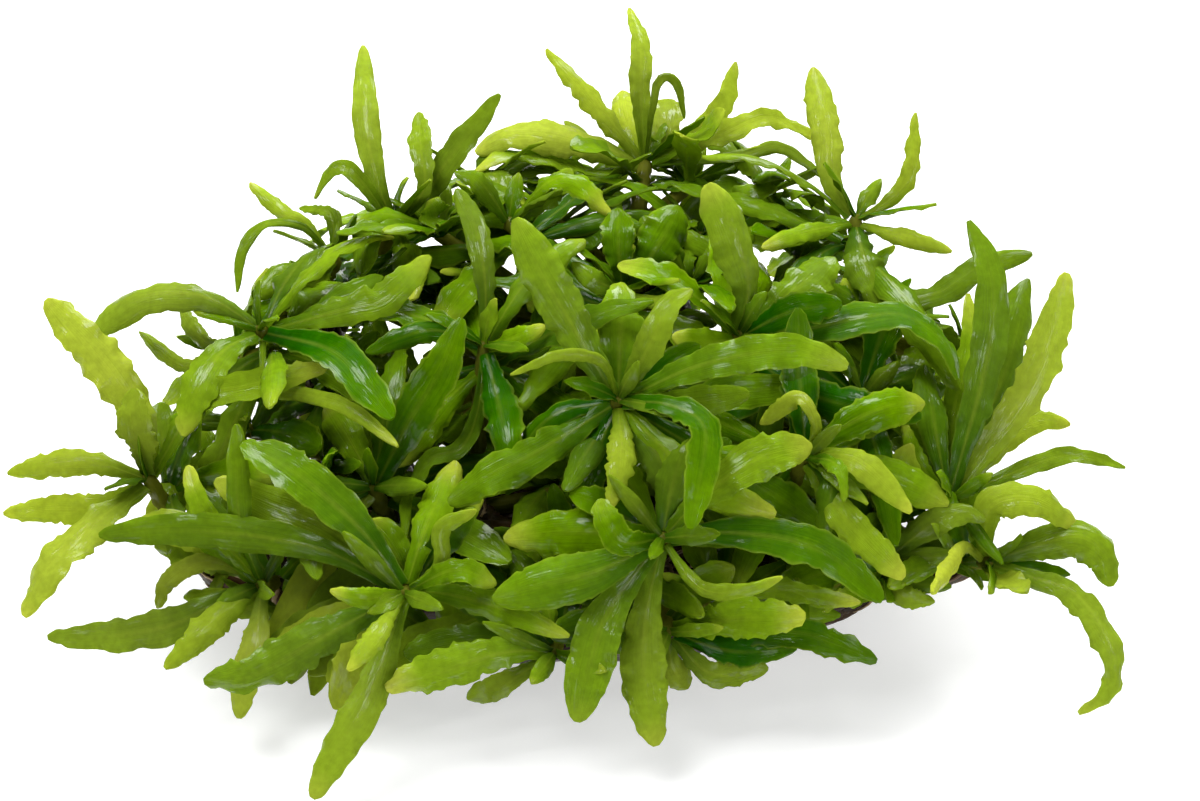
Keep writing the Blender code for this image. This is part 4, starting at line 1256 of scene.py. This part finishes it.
def model_plant(grown, axes, added):
    """Every leaf and rosette, each as a piece of its own."""
    chance = random.Random(SEED + 1)
    blades = {name: model_blade(name, outline, FINE) for name, outline in OUTLINES.items()}
    own_blades = {name: model_blade(f"own_{name}", outline, MEDIUM) for name, outline in OUTLINES.items()}
    light_blades = {name: model_blade(f"light_{name}", outline, LIGHT) for name, outline in OUTLINES.items()}
    small = model_blade("small_leaf", OUTLINES["lance"], SMALL)
    shapes = list(OUTLINES)
    plant = []
    for name, pieces in grown.items():
        for leaf_name, leaf in pieces["single"].items():
            look, shape = look_of(leaf, chance)
            item = bend_leaf(blades[shape], leaf, chance, look)
            item.name = f"{leaf_name}_leaf"
            item.data.name = item.name
            shade_smooth(item)
            finish_piece(item, "wet_leaf", f"leaf_{leaf_name}")
            plant.append(item)
        parts = [model_stem(name, pieces["stem"])]
        for leaf in pieces["fused"]:
            look, shape = look_of(leaf, chance)
            parts.append(bend_leaf(own_blades[shape], leaf, chance, look))
        for number, stem in enumerate(added[name]["stems"]):
            parts.append(model_stem(f"{name}_{number}", stem))
        for leaf in added[name]["leaves"]:
            # Tone and pallor by chance, plus a painted glow on leaves round the clump's rim.
            look = (chance.uniform(0.0, 0.8), chance.uniform(0.0, 0.1) + 0.3 * painted_rim_glow(leaf), 0.0)
            parts.append(bend_leaf(light_blades[chance.choice(shapes)], leaf, chance, look))
        for stem in [pieces["stem"]] + added[name]["stems"]:
            axis = (stem[3] - stem[2]).normalized()
            for leaf in heart_leaves(stem[2], axis, chance):
                look = (chance.uniform(0.1, 0.7), chance.uniform(0.0, 0.2), 0.0)
                parts.append(bend_leaf(small, leaf, chance, look))
        rosette = join(parts, f"{name}_rosette")
        shade_smooth(rosette)
        finish_piece(rosette, "rosette_leaf", f"rosette_{name}")
        plant.append(rosette)
    for blade in [*blades.values(), *own_blades.values(), *light_blades.values(), small]:
        bpy.data.objects.remove(blade)
    return plant


def finish_piece(item, slot, *nodes):
    """A finished piece: its material and slot, its body and the solids it stands for."""
    item.data.materials.clear()
    item.data.materials.append(MATERIALS[slot])
    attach(item, "root")
    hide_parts(*nodes)


def add_node(tree, kind, **values):
    """A shader node with its sockets linked or set; a name's double underscore is a space."""
    node = tree.nodes.new(kind)
    for name, value in values.items():
        if hasattr(node, name) and name not in ("inputs", "outputs"):
            setattr(node, name, value)
            continue
        socket = node.inputs[int(name[1:])] if name[0] == "i" and name[1:].isdigit() else node.inputs[name.replace("__", " ")]
        if isinstance(value, bpy.types.NodeSocket):
            tree.links.new(value, socket)
        else:
            socket.default_value = value
    return node


def maths(tree, operation, *values):
    """The result of a sum on values or sockets."""
    node = tree.nodes.new("ShaderNodeMath")
    node.operation = operation
    for socket, value in zip(node.inputs, values):
        if isinstance(value, bpy.types.NodeSocket):
            tree.links.new(value, socket)
        else:
            socket.default_value = value
    return node.outputs[0]


def fade(tree, value, low, high, start=0.0, end=1.0):
    """A smooth change from start to end as a value goes from low to high."""
    node = tree.nodes.new("ShaderNodeMapRange")
    node.interpolation_type = "SMOOTHSTEP"
    tree.links.new(value, node.inputs["Value"])
    node.inputs["From Min"].default_value = low
    node.inputs["From Max"].default_value = high
    node.inputs["To Min"].default_value = start
    node.inputs["To Max"].default_value = end
    return node.outputs[0]


def mixed(tree, share, one, other, blend="MIX"):
    """Two colours mixed."""
    node = tree.nodes.new("ShaderNodeMix")
    node.data_type = "RGBA"
    node.blend_type = blend
    for socket, value in ((node.inputs[0], share), (node.inputs[6], one), (node.inputs[7], other)):
        if isinstance(value, bpy.types.NodeSocket):
            tree.links.new(value, socket)
        elif isinstance(value, tuple):
            socket.default_value = (*value, 1.0)
        else:
            socket.default_value = value
    return node.outputs[2]


def speckle(tree, coordinates_socket, scale, detail=3.0, roughness=0.55):
    """Noise from 0 to 1."""
    node = tree.nodes.new("ShaderNodeTexNoise")
    tree.links.new(coordinates_socket, node.inputs["Vector"])
    node.inputs["Scale"].default_value = scale
    node.inputs["Detail"].default_value = detail
    node.inputs["Roughness"].default_value = roughness
    return node.outputs["Fac"]


def new_group(name, inputs, outputs):
    """A shader node group with its named sockets."""
    group = bpy.data.node_groups.new(name, "ShaderNodeTree")
    for label, kind in inputs:
        group.interface.new_socket(label, in_out="INPUT", socket_type=kind)
    for label, kind in outputs:
        group.interface.new_socket(label, in_out="OUTPUT", socket_type=kind)
    entry = group.nodes.new("NodeGroupInput")
    leave = group.nodes.new("NodeGroupOutput")
    return group, entry, leave


def leaf_pattern():
    """The colours, wet film and relief of a downoi leaf, along its length and across it, with painted shade towards
    its base and a painted glow at its edges and tip.
    """
    group, entry, leave = new_group(
        "leaf_pattern",
        [("Deep Green", "NodeSocketColor"), ("Fresh Green", "NodeSocketColor"), ("Pale Leaf", "NodeSocketColor")],
        [("Colour", "NodeSocketColor"), ("Glow", "NodeSocketColor"), ("Film", "NodeSocketFloat"),
         ("Height", "NodeSocketFloat"), ("Clearness", "NodeSocketFloat")],
    )
    place = group.nodes.new("ShaderNodeTexCoord").outputs["Object"]
    look = group.nodes.new("ShaderNodeAttribute")
    look.attribute_name = "leaf_look"
    split = group.nodes.new("ShaderNodeSeparateColor")
    group.links.new(look.outputs["Color"], split.inputs[0])
    tone, pallor, stem = split.outputs[0], split.outputs[1], split.outputs[2]
    flat = group.nodes.new("ShaderNodeUVMap")
    flat.uv_map = "UVMap"
    axes = group.nodes.new("ShaderNodeSeparateXYZ")
    group.links.new(flat.outputs[0], axes.inputs[0])
    along, across = axes.outputs[0], axes.outputs[1]
    outward = maths(group, "MULTIPLY", maths(group, "ABSOLUTE", maths(group, "SUBTRACT", across, 0.5)), 2.0)
    rib = maths(group, "MULTIPLY", fade(group, outward, 0.0, 0.24, 1.0, 0.0), fade(group, along, 0.1, 0.9, 1.0, 0.1))
    lines = group.nodes.new("ShaderNodeCombineXYZ")
    group.links.new(maths(group, "MULTIPLY", along, 3.0), lines.inputs[0])
    group.links.new(maths(group, "MULTIPLY", across, 26.0), lines.inputs[1])
    group.links.new(maths(group, "MULTIPLY", tone, 40.0), lines.inputs[2])
    streaks = speckle(group, lines.outputs[0], 1.0, 3.0)
    patches = speckle(group, place, 150.0, 3.0)
    fine = speckle(group, place, 900.0, 2.0)
    # Deep to fresh green by tone, patches and streaks, and fresher towards the tip: the darker base is painted shade
    # where the leaves crowd at the crown.
    amount = maths(group, "ADD", maths(group, "MULTIPLY", tone, 0.9), maths(group, "MULTIPLY", patches, 0.6))
    amount = maths(group, "ADD", amount, maths(group, "MULTIPLY", streaks, 0.5))
    amount = maths(group, "ADD", amount, maths(group, "MULTIPLY", along, 0.6))
    amount = fade(group, amount, 0.75, 2.1)
    colour = mixed(group, amount, entry.outputs["Deep Green"], entry.outputs["Fresh Green"])
    # Pallor, weaker at the base as painted shade; the thin edges and, on toned leaves, the tip painted paler as a
    # painted glow of light through them.
    pale_and_glow = maths(group, "MULTIPLY", pallor, fade(group, along, 0.0, 0.5, 0.4, 1.0))
    pale_and_glow = maths(group, "MAXIMUM", pale_and_glow, maths(group, "MULTIPLY", fade(group, outward, 0.8, 1.0), 0.16))
    tip = maths(group, "MULTIPLY", fade(group, along, 0.68, 1.05), fade(group, tone, 0.3, 1.0, 0.0, 0.95))
    pale_and_glow = maths(group, "MAXIMUM", pale_and_glow, tip)
    colour = mixed(group, pale_and_glow, colour, entry.outputs["Pale Leaf"])
    colour = mixed(group, maths(group, "MULTIPLY", rib, 0.14), colour, entry.outputs["Pale Leaf"])
    colour = mixed(group, maths(group, "MULTIPLY", stem, 0.75), colour, (0.10, 0.085, 0.012))
    shade = fade(group, fine, 0.2, 0.8, 0.85, 1.1)
    colour = mixed(group, 1.0, colour, shade, "MULTIPLY")
    glow = mixed(group, 0.3, colour, entry.outputs["Pale Leaf"])
    wet = group.nodes.new("ShaderNodeCombineXYZ")
    group.links.new(maths(group, "MULTIPLY", along, 5.0), wet.inputs[0])
    group.links.new(maths(group, "MULTIPLY", across, 2.6), wet.inputs[1])
    group.links.new(maths(group, "MULTIPLY", tone, 70.0), wet.inputs[2])
    film = maths(group, "ADD", maths(group, "MULTIPLY", streaks, 0.4), speckle(group, wet.outputs[0], 1.0, 4.0))
    film = fade(group, film, 0.765, 0.785, 0.05, 1.0)
    height = maths(group, "ADD", maths(group, "MULTIPLY", streaks, 0.5), speckle(group, place, 190.0, 1.0, 0.3))
    height = maths(group, "SUBTRACT", height, maths(group, "MULTIPLY", rib, 0.3))
    height = maths(group, "ADD", height, maths(group, "MULTIPLY", fine, 0.08))
    clearness = fade(group, pallor, 0.0, 0.7, 0.34, 0.52)
    outputs = {"Colour": colour, "Glow": glow, "Film": film, "Height": height, "Clearness": clearness}
    for label, socket in outputs.items():
        group.links.new(socket, leave.inputs[label])
    return group


def leaf_material(name, pattern, deep, fresh, pale_and_glow):
    """A wet leaf: glossy film over a green blade that lets light through."""
    material = bpy.data.materials.new(name)
    material.use_nodes = True
    tree = material.node_tree
    shader = tree.nodes["Principled BSDF"]
    use = tree.nodes.new("ShaderNodeGroup")
    use.node_tree = pattern
    use.inputs["Deep Green"].default_value = (*deep, 1.0)
    use.inputs["Fresh Green"].default_value = (*fresh, 1.0)
    use.inputs["Pale Leaf"].default_value = (*pale_and_glow, 1.0)
    bump = tree.nodes.new("ShaderNodeBump")
    bump.inputs["Strength"].default_value = 0.5
    bump.inputs["Distance"].default_value = 0.0004
    tree.links.new(use.outputs["Height"], bump.inputs["Height"])
    tree.links.new(use.outputs["Colour"], shader.inputs["Base Color"])
    tree.links.new(bump.outputs[0], shader.inputs["Normal"])
    tree.links.new(bump.outputs[0], shader.inputs["Coat Normal"])
    tree.links.new(use.outputs["Film"], shader.inputs["Coat Weight"])
    shader.inputs["Roughness"].default_value = 0.5
    shader.inputs["Specular IOR Level"].default_value = 0.0
    shader.inputs["Coat Roughness"].default_value = 0.04
    shader.inputs["Coat IOR"].default_value = 1.5
    through = tree.nodes.new("ShaderNodeBsdfTranslucent")
    tree.links.new(use.outputs["Glow"], through.inputs["Color"])
    tree.links.new(bump.outputs[0], through.inputs["Normal"])
    mix = tree.nodes.new("ShaderNodeMixShader")
    tree.links.new(use.outputs["Clearness"], mix.inputs[0])
    tree.links.new(shader.outputs[0], mix.inputs[1])
    tree.links.new(through.outputs[0], mix.inputs[2])
    tree.links.new(mix.outputs[0], tree.nodes["Material Output"].inputs["Surface"])
    return material


def wood_material():
    """Dark wet driftwood with grain along its branches, pale worn ridges and green film."""
    material = bpy.data.materials.new("wet_driftwood")
    material.use_nodes = True
    tree = material.node_tree
    shader = tree.nodes["Principled BSDF"]
    place = tree.nodes.new("ShaderNodeTexCoord").outputs["Object"]
    lines = tree.nodes.new("ShaderNodeAttribute")
    lines.attribute_name = "grain"
    stretch = tree.nodes.new("ShaderNodeVectorMath")
    stretch.operation = "MULTIPLY"
    stretch.inputs[1].default_value = (0.12, 1.0, 1.0)
    tree.links.new(lines.outputs["Vector"], stretch.inputs[0])
    fibres = speckle(tree, stretch.outputs[0], 900.0, 4.0, 0.6)
    bands = speckle(tree, stretch.outputs[0], 260.0, 3.0)
    blotches = speckle(tree, place, 60.0, 3.0)
    colour = mixed(tree, fade(tree, bands, 0.3, 0.7), (0.012, 0.006, 0.002), (0.06, 0.027, 0.008))
    colour = mixed(tree, fade(tree, fibres, 0.55, 0.75, 0.0, 0.5), colour, (0.15, 0.09, 0.035))
    colour = mixed(tree, fade(tree, blotches, 0.62, 0.74, 0.0, 0.7), colour, (0.30, 0.24, 0.17))
    colour = mixed(tree, fade(tree, speckle(tree, place, 110.0, 3.0), 0.55, 0.72, 0.0, 0.5), colour, (0.035, 0.05, 0.01))
    tree.links.new(colour, shader.inputs["Base Color"])
    tree.links.new(fade(tree, bands, 0.3, 0.7, 0.3, 0.62), shader.inputs["Roughness"])
    relief = maths(tree, "ADD", maths(tree, "MULTIPLY", fibres, 0.6), bands)
    bump = tree.nodes.new("ShaderNodeBump")
    bump.inputs["Strength"].default_value = 0.9
    bump.inputs["Distance"].default_value = 0.0008
    tree.links.new(relief, bump.inputs["Height"])
    tree.links.new(bump.outputs[0], shader.inputs["Normal"])
    shader.inputs["Specular IOR Level"].default_value = 0.15
    shader.inputs["Coat Weight"].default_value = 0.12
    shader.inputs["Coat Roughness"].default_value = 0.15
    return material


def root_material():
    """Fine tan and brown roots."""
    material = bpy.data.materials.new("roots")
    material.use_nodes = True
    tree = material.node_tree
    shader = tree.nodes["Principled BSDF"]
    place = tree.nodes.new("ShaderNodeTexCoord").outputs["Object"]
    colour = mixed(tree, fade(tree, speckle(tree, place, 90.0, 2.0), 0.35, 0.65), (0.09, 0.045, 0.015), (0.32, 0.22, 0.10))
    tree.links.new(colour, shader.inputs["Base Color"])
    tree.links.new(fade(tree, speckle(tree, place, 700.0, 2.0), 0.3, 0.7, 0.35, 0.6), shader.inputs["Roughness"])
    return material


def floor_material():
    """Plain pale paper-like floor."""
    material = bpy.data.materials.new("floor")
    material.use_nodes = True
    shader = material.node_tree.nodes["Principled BSDF"]
    shader.inputs["Base Color"].default_value = (0.55, 0.55, 0.55, 1.0)
    shader.inputs["Emission Color"].default_value = (1.0, 1.0, 1.0, 1.0)
    shader.inputs["Emission Strength"].default_value = 0.56
    shader.inputs["Roughness"].default_value = 0.9
    shader.inputs["Specular IOR Level"].default_value = 0.1
    return material


def area_light(name, place, target, size, power):
    """A soft square light that faces a point."""
    light = bpy.data.lights.new(name, "AREA")
    light.size = size
    light.energy = power
    item = bpy.data.objects.new(name, light)
    item.location = place
    item.rotation_euler = (Vector(target) - Vector(place)).to_track_quat("-Z", "Y").to_euler()
    bpy.context.scene.collection.objects.link(item)


def set_stage():
    """The floor, the lights, the sky and the camera."""
    deselect()
    bpy.ops.mesh.primitive_plane_add(size=6.0, location=(0, 0, FLOOR_DROP))
    floor = bpy.context.active_object
    floor.name = "floor"
    bpy.ops.object.transform_apply(location=True, rotation=True, scale=True)
    floor.data.materials.append(floor_material())
    for light in LIGHTS:
        area_light(*light)
    world = bpy.data.worlds.new("studio")
    world.use_nodes = True
    world.node_tree.nodes["Background"].inputs["Color"].default_value = (1.0, 1.0, 1.0, 1.0)
    world.node_tree.nodes["Background"].inputs["Strength"].default_value = SKY
    bpy.context.scene.world = world
    camera = bpy.data.cameras.new("camera")
    camera.sensor_width = 36.0
    camera.lens = 36.0 * VIEW_DISTANCE * PIXELS_PER_MM / 1200.0
    camera.clip_start = 0.01
    item = bpy.data.objects.new("camera", camera)
    item.location = (VIEW_TARGET + NEAR * VIEW_DISTANCE) * MM
    item.rotation_euler = (-NEAR).to_track_quat("-Z", "Y").to_euler()
    bpy.context.scene.collection.objects.link(item)
    bpy.context.scene.camera = item
    bpy.context.scene.view_settings.view_transform = "Standard"


SKY = 0.07
FLOOR_DROP = -0.0002
LIGHTS = (
    ("key", (-0.45, -0.1, 1.1), (0, 0, 0.04), 0.7, 17.0),
    ("top", (0.2, 0.8, 0.95), (0, 0, 0.04), 1.2, 32.0),
    ("fill", (0.9, -0.8, 0.7), (0, 0, 0.04), 0.7, 8.0),
)

set_stage()
PATTERN = leaf_pattern()
MATERIALS = {
    "wet_leaf": leaf_material("wet_leaf", PATTERN, (0.012, 0.1, 0.0), (0.2, 0.38, 0.0), (0.62, 0.66, 0.08)),
    "rosette_leaf": leaf_material(
        "rosette_leaf", PATTERN, (0.01, 0.085, 0.0), (0.19, 0.36, 0.0), (0.58, 0.64, 0.06)
    ),
    "wet_driftwood": wood_material(),
    "roots": root_material(),
}
grown, axes, obstacles = grow()
model_plant(grown, axes, thicken_clump(grown, axes, obstacles))
driftwood = model_driftwood()
finish_piece(driftwood, "wet_driftwood", *WOOD)
roots = model_roots(driftwood, grown)
roots.data.materials.clear()
roots.data.materials.append(MATERIALS["roots"])
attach(roots, "root")
